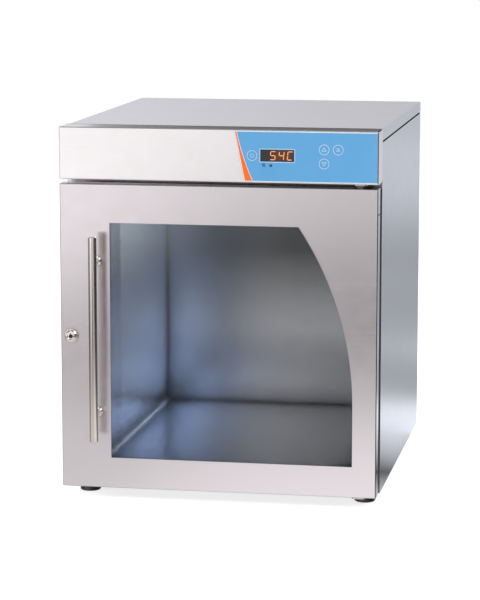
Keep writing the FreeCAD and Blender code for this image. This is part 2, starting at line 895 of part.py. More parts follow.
def board_standoffs():
    posts = []
    for x in (board_left + standoff_inset, board_right - standoff_inset):
        for z in (board_z + standoff_inset, board_z + board_height - standoff_inset):
            posts.append(hexagon_along_y(x, z, panel_back, board_y, standoff_flats))
    return posts


# ---------------------------------------------------------------- door
def window_prism(y0, y1):
    """The window: square corners, and a right side that sweeps over to the left."""
    rise = window_top - sweep_z
    inset = sweep_radius - math.sqrt(sweep_radius ** 2 - rise ** 2)
    half_turn = math.asin(rise / sweep_radius) / 2
    middle = V(window_right - sweep_radius * (1 - math.cos(half_turn)), y0,
               sweep_z + sweep_radius * math.sin(half_turn))
    corners = [V(window_left, y0, window_z), V(window_right, y0, window_z),
               V(window_right, y0, sweep_z), V(window_right - inset, y0, window_top),
               V(window_left, y0, window_top)]
    edges = [Part.LineSegment(corners[0], corners[1]).toShape(),
             Part.LineSegment(corners[1], corners[2]).toShape(),
             Part.Arc(corners[2], middle, corners[3]).toShape(),
             Part.LineSegment(corners[3], corners[4]).toShape(),
             Part.LineSegment(corners[4], corners[0]).toShape()]
    return Part.Face(Part.Wire(edges)).extrude(V(0, y1 - y0, 0))


def door_skin():
    """Folded tray with the swept window, the lock and pull holes and the pivot holes."""
    outer = box(-half_width, half_width, face_y, shell_y, door_z, door_top)
    outer = fold(outer, bend_radius, lambda middle, run: near(middle.y, face_y))
    inner = box(-half_width + sheet, half_width - sheet, face_y + sheet, shell_y + past,
                door_z + sheet, door_top - sheet)
    tools = [window_prism(face_y - past, face_y + sheet + past)]
    tools.append(along_y(lock_x, lock_z, face_y - past, face_y + sheet + past,
                         lock_barrel_diameter + 2 * fit_gap))
    for z in post_heights():
        tools.append(along_y(pull_x, z, face_y - past, face_y + sheet + past,
                             pull_screw_diameter + 2 * screw_gap))
    bush_hole = bush_diameter() + 2 * fit_gap
    tools.append(upright(pivot_x, pivot_y, door_z - past, door_z + sheet + past, bush_hole))
    tools.append(upright(pivot_x, pivot_y, door_top - sheet - past, door_top + past, bush_hole))
    for z in (door_z + relief_slot_inset, door_top - relief_slot_inset):
        tools.append(box(half_width - sheet - past, half_width + past, face_y + relief_slot_margin,
                         shell_y - relief_slot_margin, z - relief_slot_height / 2,
                         z + relief_slot_height / 2))
    return cut_all(outer.cut(inner), tools)


def door_pan():
    """Inner pan: flange inside the skin, raised step, and the sight opening."""
    limit = half_width - sheet - fit_gap
    flange = box(-limit, limit, shell_y - liner_sheet, shell_y,
                 door_z + sheet + fit_gap, door_top - sheet - fit_gap)
    step = box(pan_left, pan_right, shell_y - liner_sheet, pan_y, pan_z, pan_top)
    step = fold(step, bend_radius, lambda middle, run: near(middle.y, pan_y))
    hollow = box(pan_left + liner_sheet, pan_right - liner_sheet, shell_y - liner_sheet - past,
                 pan_y - liner_sheet, pan_z + liner_sheet, pan_top - liner_sheet)
    opening = box(sight[0], sight[1], pan_y - liner_sheet - past, pan_y + past, sight[2], sight[3])
    barrel = along_y(lock_x, lock_z, shell_y - liner_sheet - past, shell_y + past,
                     lock_barrel_diameter + 2 * fit_gap)
    return cut_all(flange.fuse(step).removeSplitter(), [hollow, opening, barrel])


def pane(outline, y, thickness):
    return box(outline[0], outline[1], y, y + thickness, outline[2], outline[3])


def glass_spacer():
    """Four bars that hold the two panes apart, butted at the corners."""
    left = outer_pane[0]
    right = min(outer_pane[1], inner_pane[1])
    low = outer_pane[2]
    high = min(outer_pane[3], inner_pane[3])
    y0, y1 = spacer_y, inner_pane_y
    return [box(left, left + spacer_width, y0, y1, low, high),
            box(right - spacer_width, right, y0, y1, low, high),
            box(left + spacer_width, right - spacer_width, y0, y1, low, low + spacer_width),
            box(left + spacer_width, right - spacer_width, y0, y1, high - spacer_width, high)]


def door_gasket():
    """Tapered compression gasket, one continuous ring on the pan's rear face."""
    outer = []
    inner = []
    for y, narrow in ((pan_y, 0.0), (gasket_y, gasket_taper)):
        edge = (pan_left + narrow, pan_right - narrow, pan_z + narrow, pan_top - narrow)
        width = gasket_width - 2 * narrow
        throat = (edge[0] + width, edge[1] - width, edge[2] + width, edge[3] - width)
        outer.append(rectangle(edge, y))
        inner.append(rectangle(throat, y))
    return Part.makeLoft(outer, True, True).cut(Part.makeLoft(inner, True, True))


def rectangle(outline, y):
    left, right, low, high = outline
    corners = [V(left, y, low), V(right, y, low), V(right, y, high), V(left, y, high)]
    return Part.makePolygon(corners + [corners[0]])


# ---------------------------------------------------------------- pull handle
def post_heights():
    return (pull_z - pull_spacing / 2, pull_z + pull_spacing / 2)


def handle_bar():
    bar = upright(pull_x, pull_y, pull_z - pull_length / 2, pull_z + pull_length / 2,
                  pull_diameter)
    bar = bar.makeChamfer(pull_chamfer, [edge for edge in bar.Edges if edge.Closed])
    socket = post_diameter + 2 * fit_gap
    floor = pull_y + pull_diameter / 2 - post_socket
    holes = [along_y(pull_x, z, floor, face_y, socket) for z in post_heights()]
    return cut_all(bar, holes)


def handle_posts():
    """Turned posts, each flared to a wider base where it stands on the door."""
    shaft = post_diameter / 2
    base = post_base_diameter / 2
    end = pull_y + pull_diameter / 2 - post_socket - face_y
    profile = [(0, end), (shaft, end), (shaft, -post_base_height - post_flare),
               (base, -post_base_height), (base, 0), (0, 0)]
    posts = []
    for z in post_heights():
        bore = along_y(pull_x, z, face_y - pull_screw_grip - screw_tip_gap, face_y + past,
                       pull_screw_diameter + 2 * screw_gap)
        posts.append(spin_about_y(profile, pull_x, face_y, z).cut(bore))
    return posts


def handle_screws():
    screws = []
    inner = face_y + sheet
    for z in post_heights():
        shank = along_y(pull_x, z, face_y - pull_screw_grip, inner, pull_screw_diameter)
        head = hexagon_along_y(pull_x, z, inner, inner + pull_screw_head_height,
                               pull_screw_flats)
        screws.append(fuse_all([shank, head]))
    return screws


# ---------------------------------------------------------------- pivot hinges
def bush_diameter():
    return pin_diameter + 2 * running_gap + 2 * bush_wall


def upper_hinge_bracket():
    left = pivot_x - bracket_width / 2
    right = pivot_x + bracket_width / 2
    plate = box(left, right, face_y + bracket_nose, frame_y, hood_z - bracket_thickness, hood_z)
    plate = fold(plate, bracket_corner, lambda middle, run: abs(run.z) > 0.99
                 and near(middle.y, face_y + bracket_nose))
    leg = box(left, right, frame_y - bracket_thickness, frame_y, hood_z, hood_z + upper_leg)
    bracket = fuse_all([plate, leg])
    pin = upright(pivot_x, pivot_y, hood_z - bracket_thickness - past, hood_z + past,
                  pin_diameter + 2 * running_gap)
    return cut_all(bracket, [pin] + bracket_screw_holes())


def lower_hinge_bracket():
    left = pivot_x - bracket_width / 2
    right = pivot_x + bracket_width / 2
    top = body_z + bracket_thickness
    plate = box(left, right, face_y + bracket_nose, frame_y, body_z, top)
    plate = fold(plate, bracket_corner, lambda middle, run: abs(run.z) > 0.99
                 and near(middle.y, face_y + bracket_nose))
    leg = box(left, right, frame_y - bracket_thickness, frame_y, top, top + lower_leg)
    bracket = fuse_all([plate, leg])
    pin = upright(pivot_x, pivot_y, body_z - past, top + past, pin_diameter + 2 * running_gap)
    return cut_all(bracket, [pin] + bracket_screw_holes())


def bracket_screw_places():
    upper = hood_z + upper_leg / 2
    lower = body_z + bracket_thickness + lower_leg / 2
    half = bracket_screw_pitch / 2
    return [(pivot_x + side * half, z) for side in (-1, 1) for z in (lower, upper)]


def bracket_screw_holes():
    diameter = bracket_screw_diameter + 2 * screw_gap
    return [along_y(x, z, frame_y - bracket_thickness - past, frame_back + past, diameter)
            for x, z in bracket_screw_places()]


def bracket_screws():
    seat = frame_y - bracket_thickness
    screws = []
    for x, z in bracket_screw_places():
        shank = along_y(x, z, seat, frame_back, bracket_screw_diameter)
        head = hexagon_along_y(x, z, seat - bracket_screw_head_height, seat,
                               bracket_screw_flats)
        screws.append(fuse_all([shank, head]))
    return screws


def hinge_pins():
    upper = upright(pivot_x, pivot_y, door_top - pin_reach, hood_z, pin_diameter)
    head = upright(pivot_x, pivot_y, hood_z, hood_z + pin_head_height, pin_head_diameter)
    lower = upright(pivot_x, pivot_y, body_z, door_z + pin_reach, pin_diameter)
    return [fuse_all([upper, head]), lower]


def hinge_washers():
    hole = pin_diameter + 2 * running_gap
    washers = []
    for low, high in ((body_z + bracket_thickness, door_z - 2 * running_gap),
                      (door_top + fit_gap, hood_z - bracket_thickness)):
        ring = upright(pivot_x, pivot_y, low, high, washer_diameter)
        washers.append(ring.cut(upright(pivot_x, pivot_y, low - past, high + past, hole)))
    return washers


def bush_spans():
    return [(door_z, door_z + bush_length), (door_top - bush_length, door_top)]


def hinge_bushes():
    bore = pin_diameter + 2 * running_gap
    bushes = []
    for low, high in bush_spans():
        bush = upright(pivot_x, pivot_y, low, high, bush_diameter())
        bushes.append(bush.cut(upright(pivot_x, pivot_y, low - past, high + past, bore)))
    return bushes


def hinge_blocks():
    """Reinforcement blocks inside the door's corners that carry the bushes."""
    left = pivot_x - bracket_width / 2
    right = half_width - sheet
    front = face_y + sheet
    blocks = []
    for low, high in ((door_z + sheet, door_z + bush_length),
                      (door_top - bush_length, door_top - sheet)):
        block = box(left, right, front, front + hinge_block_depth, low, high)
        bore = upright(pivot_x, pivot_y, low - past, high + past, bush_diameter() + 2 * running_gap)
        blocks.append(block.cut(bore))
    return blocks


# ---------------------------------------------------------------- cam lock
def lock_housing():
    bore = plug_diameter / 2 + running_gap
    barrel = lock_barrel_diameter / 2
    head = lock_head_diameter / 2
    flange = lock_flange_diameter / 2
    front = -lock_head_height
    end = barrel_end - face_y
    profile = [(bore, front), (head - lock_head_edge, front), (head, front + lock_head_edge),
               (head, -lock_flange_height), (flange, -lock_flange_height), (flange, 0),
               (barrel, 0), (barrel, end), (bore, end)]
    return spin_about_y(profile, lock_x, face_y, lock_z)


def lock_nut():
    inner = face_y + sheet
    nut = hexagon_along_y(lock_x, lock_z, inner, inner + lock_nut_height, lock_nut_flats)
    return nut.cut(along_y(lock_x, lock_z, inner - past, inner + lock_nut_height + past,
                           lock_barrel_diameter + 2 * fit_gap))


def lock_plug():
    """Plug with a round keyway, a pin in its middle and a notch at the top."""
    front = face_y - lock_head_height + plug_recess
    core = along_y(lock_x, lock_z, front, cam_y, plug_diameter)
    tail = square_along_y(lock_x, lock_z, cam_y, cam_y + cam_thickness, plug_square)
    plug = fuse_all([core, tail])
    floor = front + keyway_depth
    ring = along_y(lock_x, lock_z, front - past, floor, keyway_diameter)
    ring = ring.cut(along_y(lock_x, lock_z, front - past, floor, keyway_pin))
    notch = box(lock_x - keyway_notch_width / 2, lock_x + keyway_notch_width / 2, front - past,
                floor, lock_z + keyway_pin / 2, lock_z + keyway_notch_reach)
    bore = along_y(lock_x, lock_z, cam_y - cam_screw_grip, cam_y + cam_thickness + past,
                   cam_screw_diameter + 2 * screw_gap)
    return cut_all(plug, [ring, notch, bore])


def lock_cam():
    """Cranked cam that hangs from the plug and swings behind the keeper."""
    hub = along_y(lock_x, lock_z, cam_y, cam_y + cam_thickness, cam_hub_diameter)
    low = cam_hub_diameter / 2
    tip = cam_reach - cam_width / 2
    back = cam_crank + cam_thickness
    inner = low + cam_thickness / 2
    section = [(0, 0), (cam_thickness, 0), (cam_thickness, -low), (back, -low - cam_slope),
               (back, -tip), (cam_crank, -tip), (cam_crank, -inner - cam_slope), (0, -inner)]
    points = [V(lock_x - cam_width / 2, cam_y + y, lock_z + z) for y, z in section]
    arm = prism(points, V(cam_width, 0, 0))
    end = along_y(lock_x, lock_z - tip, arm_y, arm_y + cam_thickness, cam_width)
    hole = square_along_y(lock_x, lock_z, cam_y - past, cam_y + cam_thickness + past,
                          plug_square + 2 * running_gap)
    return fuse_all([hub, arm, end]).cut(hole)


def cam_screw():
    seat = cam_y + cam_thickness
    shank = along_y(lock_x, lock_z, cam_y - cam_screw_grip + screw_tip_gap, seat,
                    cam_screw_diameter)
    head = hexagon_along_y(lock_x, lock_z, seat, seat + cam_screw_head_height,
                           cam_screw_flats)
    return fuse_all([shank, head])


def lock_keeper():
    """Channel welded to the body's edge, whose lip the cam's arm swings behind."""
    left = -half_width
    lip_y = arm_y - keeper_gap - sheet
    low = lock_z - keeper_height / 2
    section = [(left, lip_y), (left + keeper_lip, lip_y), (left + keeper_lip, lip_y + sheet),
               (left + sheet, lip_y + sheet), (left + sheet, body_y - sheet),
               (left + keeper_foot, body_y - sheet), (left + keeper_foot, body_y),
               (left, body_y)]
    points = [V(x, y, low) for x, y in section]
    return prism(points, V(0, 0, keeper_height))


# ---------------------------------------------------------------- assembly
nodes = {
    "foot_pads": foot_pads(),
    "foot_studs": foot_studs(),
    "side_panel_left": side_panel(-1),
    "side_panel_right": side_panel(1),
    "top_cover": top_cover(),
    "back_panel": back_panel(),
    "back_screws": back_screws(),
    "base_pan": base_pan(),
    "face_frame": face_frame(),
    "cavity_liner": cavity_liner(),
    "insulation_sides": insulation_sides(),
    "insulation_floor": insulation_floor(),
    "insulation_top": insulation_top(),
    "insulation_back": insulation_back(),
    "heater_mats": heater_mats(),
    "temperature_probe": temperature_probe(),
    "probe_guard": probe_guard(),
    "equipment_deck": equipment_deck(),
    "power_supply": power_supply(),
    "power_relay": power_relay(),
    "limit_thermostat": limit_thermostat(),
    "ribbon_cable": ribbon_cable(),
    "power_inlet": power_inlet(),
    "hood": hood(),
    "membrane_overlay": membrane_overlay(),
    "display_window": display_window(),
    "display_module": display_module(),
    "control_board": control_board(),
    "board_standoffs": board_standoffs(),
    "key_switches": key_switches(),
    "upper_hinge_bracket": upper_hinge_bracket(),
    "lower_hinge_bracket": lower_hinge_bracket(),
    "bracket_screws": bracket_screws(),
    "hinge_pins": hinge_pins(),
    "hinge_washers": hinge_washers(),
    "lock_keeper": lock_keeper(),
    "door_skin": door_skin(),
    "door_pan": door_pan(),
    "outer_glass": pane(outer_pane, outer_pane_y, outer_glass_sheet),
    "inner_glass": pane(inner_pane, inner_pane_y, inner_glass_sheet),
    "glass_spacer": glass_spacer(),
    "door_gasket": door_gasket(),
    "handle_bar": handle_bar(),
    "handle_posts": handle_posts(),
    "handle_screws": handle_screws(),
    "hinge_blocks": hinge_blocks(),
    "hinge_bushes": hinge_bushes(),
    "lock_housing": lock_housing(),
    "lock_nut": lock_nut(),
    "lock_plug": lock_plug(),
    "lock_cam": lock_cam(),
    "cam_screw": cam_screw(),
}
for key_name in keys:
    nodes[key_name] = key_cap(key_name)

for node, shape in nodes.items():
    if isinstance(shape, list):
        shape = Part.makeCompound(shape)
    shape.exportStep("parts/" + node + ".step")
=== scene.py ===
"""Looks of the blanket warming cabinet: materials, printed panel, lit digits and a white studio."""

import math

import bpy
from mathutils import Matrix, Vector


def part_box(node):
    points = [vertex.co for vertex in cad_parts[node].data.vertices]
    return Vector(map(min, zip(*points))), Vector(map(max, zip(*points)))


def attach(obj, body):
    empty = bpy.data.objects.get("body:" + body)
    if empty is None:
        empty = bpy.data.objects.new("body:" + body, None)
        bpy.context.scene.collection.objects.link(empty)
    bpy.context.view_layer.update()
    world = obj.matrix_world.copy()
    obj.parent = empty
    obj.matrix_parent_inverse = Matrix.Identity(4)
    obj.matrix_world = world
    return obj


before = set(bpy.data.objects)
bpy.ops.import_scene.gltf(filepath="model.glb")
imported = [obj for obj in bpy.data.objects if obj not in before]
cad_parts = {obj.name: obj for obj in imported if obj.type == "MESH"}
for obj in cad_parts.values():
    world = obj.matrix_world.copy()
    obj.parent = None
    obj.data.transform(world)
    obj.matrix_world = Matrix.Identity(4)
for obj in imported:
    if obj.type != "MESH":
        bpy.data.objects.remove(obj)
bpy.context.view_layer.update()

# ---------------------------------------------------------------- places on the control panel, in metres
OVERLAY_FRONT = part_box("membrane_overlay")[0].y
OVERLAY_SLANT = 0.019         # how far the overlay's left end leans over its height
LENS_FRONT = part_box("display_window")[0].y
INK = 0.00006                 # printed and embossed lines stand this far proud
HOOD_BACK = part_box("hood")[1].y
# x, and the share of its low-angle reflection that painted shade takes from the hood's top there
HOOD_TOP_DARK = ((-0.30, 0.0), (-0.27, 0.05), (-0.22, 0.59), (-0.10, 0.83), (0.30, 0.88))
CAD_HALF_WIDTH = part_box("hood")[1].x
DOOR_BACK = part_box("door_gasket")[1].y
FOLD_DARK = 0.74              # share of the light that painted shade takes from the hood's fold and the joint behind it
CONE_SLOPE = -0.19            # slope of the lock's turned face
SLOT = (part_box("door_skin")[1].z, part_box("hood")[0].z)     # heights of the slot between door and hood
SLOT_FADE = (0.001, 0.006)    # how far past the slot's edges its painted light starts and ends fading
SLOT_BACK = (-0.255, -0.245)  # y over which the painted light in the slot and the joint fades out
JOINT_RISE = 0.004            # height over the slot in which the painted light in the upright joint grows
JOINT_FRONT = (-0.300, -0.290)  # y over which it fades in along the joint
JOINT_SIDE = (0.284, 0.290)   # x over which it fades in towards the right side
# in from the cabinet's sides, where painted shade starts and where it is full
BEND_INSET = (0.006, 0.005)
RIM_INSET = (0.0045, 0.003)
PAN_RIM_INSET = (0.003, 0.002)
LOCK = (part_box("lock_housing")[0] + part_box("lock_housing")[1]) / 2
KEYWAY_RADIUS = 0.0034
KEYS = {"power_key": "power_button", "up_key": "up_button",
        "down_key": "down_button", "set_key": "set_button"}
WHITE = (1.0, 1.0, 1.0, 1.0)


def linear(r, g, b):
    """A colour written as the usual 0 to 255 numbers, as linear light."""
    def one(c):
        c = c / 255
        return c / 12.92 if c <= 0.04045 else ((c + 0.055) / 1.055) ** 2.4
    return (one(r), one(g), one(b), 1.0)


def shade(colour, factor):
    return tuple(min(1.0, c * factor) for c in colour[:3]) + (1.0,)


# ---------------------------------------------------------------- node helpers
class Nodes:
    """The node tree of a material or world, with short calls for the nodes used here."""

    def __init__(self, name, world=False):
        self.material = (bpy.data.worlds if world else bpy.data.materials).new(name)
        self.material.use_nodes = True
        self.tree = self.material.node_tree
        self.tree.nodes.clear()
        self.output = self.add("ShaderNodeOutputWorld" if world else "ShaderNodeOutputMaterial")

    def add(self, kind, **values):
        node = self.tree.nodes.new(kind)
        for key, value in values.items():
            setattr(node, key, value)
        return node

    def join(self, source, target):
        self.tree.links.new(source, target)

    def feed(self, socket, value):
        if isinstance(value, bpy.types.NodeSocket):
            self.join(value, socket)
        else:
            socket.default_value = value

    def math(self, operation, first, second=0.0):
        node = self.add("ShaderNodeMath", operation=operation)
        self.feed(node.inputs[0], first)
        self.feed(node.inputs[1], second)
        return node.outputs[0]

    def rest(self, share):
        """What is left of 1 once a share is taken away."""
        return self.math("SUBTRACT", 1.0, share)

    def absolute(self, value):
        return self.math("ABSOLUTE", value)

    def place(self):
        return self.add("ShaderNodeTexCoord").outputs["Object"]

    def scaled(self, vector, scale):
        node = self.add("ShaderNodeVectorMath", operation="MULTIPLY")
        self.join(vector, node.inputs[0])
        node.inputs[1].default_value = scale
        return node.outputs[0]

    def split(self, vector):
        node = self.add("ShaderNodeSeparateXYZ")
        self.join(vector, node.inputs[0])
        return node.outputs

    def noise(self, vector, scale, detail=2.0, roughness=0.5):
        node = self.add("ShaderNodeTexNoise")
        self.join(vector, node.inputs["Vector"])
        node.inputs["Scale"].default_value = scale
        node.inputs["Detail"].default_value = detail
        node.inputs["Roughness"].default_value = roughness
        return node.outputs["Fac"]

    def spread(self, value, low, high, start=0.25, end=0.75):
        node = self.add("ShaderNodeMapRange")
        self.feed(node.inputs["Value"], value)
        for key, number in (("From Min", start), ("From Max", end), ("To Min", low), ("To Max", high)):
            node.inputs[key].default_value = number
        return node.outputs[0]

    def curve(self, value, stops):
        """A smooth curve through (value, level) stops."""
        low, high = stops[0][0], stops[-1][0]
        node = self.add("ShaderNodeFloatCurve")
        line = node.mapping.curves[0]
        line.points[0].location = (0.0, stops[0][1])
        line.points[-1].location = (1.0, stops[-1][1])
        for place, level in stops[1:-1]:
            line.points.new((place - low) / (high - low), level)
        node.mapping.update()
        self.join(self.spread(value, 0.0, 1.0, low, high), node.inputs["Value"])
        return node.outputs[0]

    def product(self, *values):
        result = values[0]
        for value in values[1:]:
            result = self.math("MULTIPLY", result, value)
        return result

    def painted_gap_shade(self, reach, darkest=0.05):
        """Painted shade: a grey that falls from white in gaps and inner corners narrower than about reach.
        """
        node = self.add("ShaderNodeAmbientOcclusion", samples=8)
        node.inputs["Distance"].default_value = reach
        return self.grey(self.spread(node.outputs["AO"], darkest, 1.0, 0.2, 0.85))

    def grey(self, level):
        node = self.add("ShaderNodeCombineColor")
        for socket in node.inputs[:3]:
            self.join(level, socket)
        return node.outputs[0]

    def mixed(self, blend, first, second):
        node = self.add("ShaderNodeMix", data_type="RGBA", blend_type=blend)
        node.inputs[0].default_value = 1.0
        self.feed(node.inputs[6], first)
        self.feed(node.inputs[7], second)
        return node.outputs[2]

    def times(self, *colours):
        result = colours[0]
        for colour in colours[1:]:
            result = self.mixed("MULTIPLY", result, colour)
        return result

    def mix(self, factor, first, second):
        node = self.add("ShaderNodeMix", data_type="RGBA")
        self.feed(node.inputs[0], factor)
        self.feed(node.inputs[6], first)
        self.feed(node.inputs[7], second)
        return node.outputs[2]

    def bump(self, height, strength, distance, normal=None):
        node = self.add("ShaderNodeBump")
        node.inputs["Strength"].default_value = strength
        node.inputs["Distance"].default_value = distance
        self.join(height, node.inputs["Height"])
        if normal is not None:
            self.join(normal, node.inputs["Normal"])
        return node.outputs[0]

    def principled(self, **values):
        node = self.add("ShaderNodeBsdfPrincipled")
        for key, value in values.items():
            self.feed(node.inputs[key.replace("_", " ").title().replace("Ior", "IOR")], value)
        self.join(node.outputs[0], self.output.inputs["Surface"])


def grain_vector(nodes, along, across):
    """Coordinates stretched along level brush lines: fast in z on upright faces, in y on level ones."""
    place = nodes.split(nodes.place())
    normal = nodes.split(nodes.add("ShaderNodeNewGeometry").outputs["True Normal"])
    level = nodes.math("GREATER_THAN", nodes.absolute(normal[2]), 0.6)
    upright = nodes.rest(level)
    fast = nodes.math("ADD", nodes.math("MULTIPLY", place[2], upright),
                      nodes.math("MULTIPLY", place[1], level))
    slow = nodes.math("MULTIPLY", place[1], upright)
    vector = nodes.add("ShaderNodeCombineXYZ")
    nodes.join(nodes.math("MULTIPLY", place[0], along), vector.inputs[0])
    nodes.join(nodes.math("MULTIPLY", slow, along), vector.inputs[1])
    nodes.join(nodes.math("MULTIPLY", fast, across), vector.inputs[2])
    return vector.outputs[0]


def brushed(name, colour, roughness, along=4.0, across=1500.0, depth=0.03, spread=0.02, tone=0.02,
            reach=0.03, painted_tints=(), painted_reflection_tints=()):
    """Brushed sheet: fine level lines, faint clouds of tone and handling marks in the roughness."""
    nodes = Nodes(name)
    lines = nodes.noise(grain_vector(nodes, along, across), 1.0, 2.0, 0.5)
    clouds = nodes.noise(nodes.place(), 4.5, 3.0, 0.55)
    marks = nodes.noise(nodes.place(), 38.0, 4.0, 0.6)
    pattern = nodes.math("ADD", nodes.math("MULTIPLY", lines, 0.5), nodes.math("MULTIPLY", clouds, 0.5))
    colours = nodes.mix(nodes.spread(pattern, 0.0, 1.0, 0.3, 0.7),
                        shade(colour, 1 - tone), shade(colour, 1 + tone))
    rough = nodes.math("ADD", nodes.spread(lines, roughness - spread, roughness + spread),
                       nodes.spread(marks, -0.015, 0.02))
    # painted shade in gaps and the tints' painted light, shade and reflections, multiplied into the colour
    # and the specular tint
    edge = painted_slot_light(nodes, nodes.times(nodes.painted_gap_shade(reach), *[tint(nodes) for tint in painted_tints]))
    # the low-angle tints add painted reflection to the specular tint alone
    painted_specular_shade = nodes.times(edge, *[tint(nodes) for tint in painted_reflection_tints])
    nodes.principled(base_color=nodes.mixed("MULTIPLY", colours, edge), specular_tint=painted_specular_shade,
                     metallic=1.0, roughness=rough, normal=nodes.bump(lines, depth, 0.0001))
    return nodes.material


def outward(nodes):
    """The three parts of the surface's direction, without the brush lines."""
    return nodes.split(nodes.add("ShaderNodeNewGeometry").outputs["Normal"])


def painted_slot_light(nodes, edge):
    """Painted light: the slot between the door and the hood is painted lighter than other gaps, least dark
    at its left end, and so is the upright joint between the hood and the right side."""
    x, y, z = nodes.split(nodes.place())[:3]
    within = nodes.product(nodes.spread(z, 0.0, 1.0, SLOT[0] - SLOT_FADE[1], SLOT[0] - SLOT_FADE[0]),
                           nodes.spread(z, 1.0, 0.0, SLOT[1] + SLOT_FADE[0], SLOT[1] + SLOT_FADE[1]),
                           nodes.spread(y, 1.0, 0.0, *SLOT_BACK))
    joint = nodes.product(nodes.spread(x, 0.0, 1.0, *JOINT_SIDE),
                          nodes.spread(z, 0.0, 1.0, SLOT[1], SLOT[1] + JOINT_RISE),
                          nodes.spread(y, 0.0, 1.0, *JOINT_FRONT),
                          nodes.spread(y, 1.0, 0.0, *SLOT_BACK))
    fading = nodes.product(within, nodes.spread(x, 1.0, 0.55, -0.20, 0.20))
    return nodes.mix(nodes.math("MAXIMUM", fading, joint), edge, WHITE)


def painted_dark_bends(nodes):
    """Painted reflection: the front's upright bends are painted as if they mirrored the sides of the room:
    the right one dark, the left one grey.
    """
    x, y = nodes.split(nodes.place())[:2]
    across = nodes.absolute(outward(nodes)[0])
    bend = nodes.product(nodes.spread(across, 0.0, 1.0, 0.10, 0.35),
                         nodes.spread(across, 1.0, 0.0, 0.94, 0.99),
                         nodes.spread(nodes.absolute(x), 0.0, 1.0,
                                      CAD_HALF_WIDTH - BEND_INSET[0], CAD_HALF_WIDTH - BEND_INSET[1]),
                         nodes.spread(y, 1.0, 0.0, DOOR_BACK - 0.02, DOOR_BACK - 0.01),
                         nodes.spread(x, 0.25, 0.85, -0.2, 0.2))
    return nodes.grey(nodes.rest(bend))


def painted_cool_sides(nodes):
    """Painted reflection: the sides are tinted as if they mirrored a cooler part of the room than the front
    does.
    """
    sideways = nodes.spread(nodes.absolute(outward(nodes)[0]), 0.0, 1.0, 0.6, 0.95)
    return nodes.mix(sideways, WHITE, (0.965, 0.998, 1.04, 1.0))


def painted_dark_folds(nodes):
    """Painted shade: the fold along the hood's front edge and the joint behind the hood are painted as thin
    dark lines.
    """
    y = nodes.split(nodes.place())[1]
    up = outward(nodes)[2]
    fold = nodes.product(nodes.spread(up, 0.0, 1.0, 0.4, 0.75), nodes.spread(up, 1.0, 0.0, 0.9, 0.99))
    seam = nodes.spread(y, 0.0, 1.0, HOOD_BACK - 0.008, HOOD_BACK - 0.003)
    return nodes.grey(nodes.rest(nodes.math("MULTIPLY", nodes.math("MAXIMUM", fold, seam), FOLD_DARK)))


def painted_dim_top(nodes):
    """Painted reflection: seen at a low angle the hood's top is painted as if it mirrored the dim end of
    the room, less so at its left end.
    """
    x = nodes.split(nodes.place())[0]
    turned_up = nodes.spread(outward(nodes)[2], 0.0, 1.0, 0.4, 0.75)
    return nodes.grey(nodes.rest(nodes.product(turned_up, nodes.curve(x, HOOD_TOP_DARK))))


def painted_rim_shadow(nodes):
    """Painted shadow on edges that the closed door and the hood keep in shadow: what faces the door at the
    outer rim.
    """
    x, y = nodes.split(nodes.place())[:2]
    ahead = nodes.spread(outward(nodes)[1], 1.0, 0.0, -0.8, -0.4)
    rim = nodes.spread(nodes.absolute(x), 0.0, 1.0,
                       CAD_HALF_WIDTH - RIM_INSET[0], CAD_HALF_WIDTH - RIM_INSET[1])
    behind = nodes.spread(y, 0.0, 1.0, DOOR_BACK - 0.004, DOOR_BACK)
    return nodes.grey(nodes.rest(nodes.product(ahead, rim, behind, 0.97)))


def painted_pan_rim_shadow(nodes):
    """Painted shadow: the door pan's outermost rim is painted dark, as it stays in shadow."""
    across = nodes.absolute(nodes.split(nodes.place())[0])
    return nodes.grey(nodes.spread(across, 1.0, 0.03,
                                   CAD_HALF_WIDTH - PAN_RIM_INSET[0], CAD_HALF_WIDTH - PAN_RIM_INSET[1]))


# x, and the level of the painted shade on the liner's upper part there
LINER_LEVELS = ((-0.24, 0.90), (-0.205, 0.49), (-0.096, 0.27), (0.0, 0.17), (0.26, 0.13))


def painted_liner_shade(nodes):
    """Painted light and shade: the liner is tinted bluish by the lock side and darkened towards the hinge
    side and the top. The levels are fitted to the dark inside seen through the closed door's glass, and
    stay when the door is open."""
    x, _, z = nodes.split(nodes.place())[:3]
    high = nodes.spread(z, 0.0, 1.0, 0.22, 0.40)
    low_level = nodes.spread(x, 0.88, 0.56, -0.23, 0.22)
    high_level = nodes.curve(x, LINER_LEVELS)
    level = nodes.math("ADD", nodes.product(low_level, nodes.rest(high)),
                       nodes.product(high_level, high))
    hue = nodes.mix(nodes.spread(x, 0.0, 1.0, -0.24, 0.0), (0.92, 1.0, 1.16, 1.0), (1.0, 1.0, 1.02, 1.0))
    return nodes.mixed("MULTIPLY", hue, nodes.grey(level))


def turned(name, colour, roughness, scale=(900.0, 900.0, 60.0), depth=0.05, tone=0.06, reach=0.012,
           painted_tints=(), shape=None):
    """Drawn, turned or polished metal with fine lines round it."""
    nodes = Nodes(name)
    lines = nodes.noise(nodes.scaled(nodes.place(), scale), 1.0, 3.0, 0.6)
    marks = nodes.noise(nodes.place(), 60.0, 3.0, 0.55)
    colours = nodes.mix(nodes.spread(marks, 0.0, 1.0), shade(colour, 1 - tone), shade(colour, 1 + tone))
    # painted shade in gaps and the tints' painted shade, multiplied into the colour and the specular tint
    edge = nodes.times(nodes.painted_gap_shade(reach), *[tint(nodes) for tint in painted_tints])
    nodes.principled(base_color=nodes.mixed("MULTIPLY", colours, edge), specular_tint=edge, metallic=1.0,
                     roughness=nodes.spread(lines, roughness * 0.8, roughness * 1.25),
                     normal=nodes.bump(lines, depth, 0.0002, shape(nodes) if shape else None))
    return nodes.material


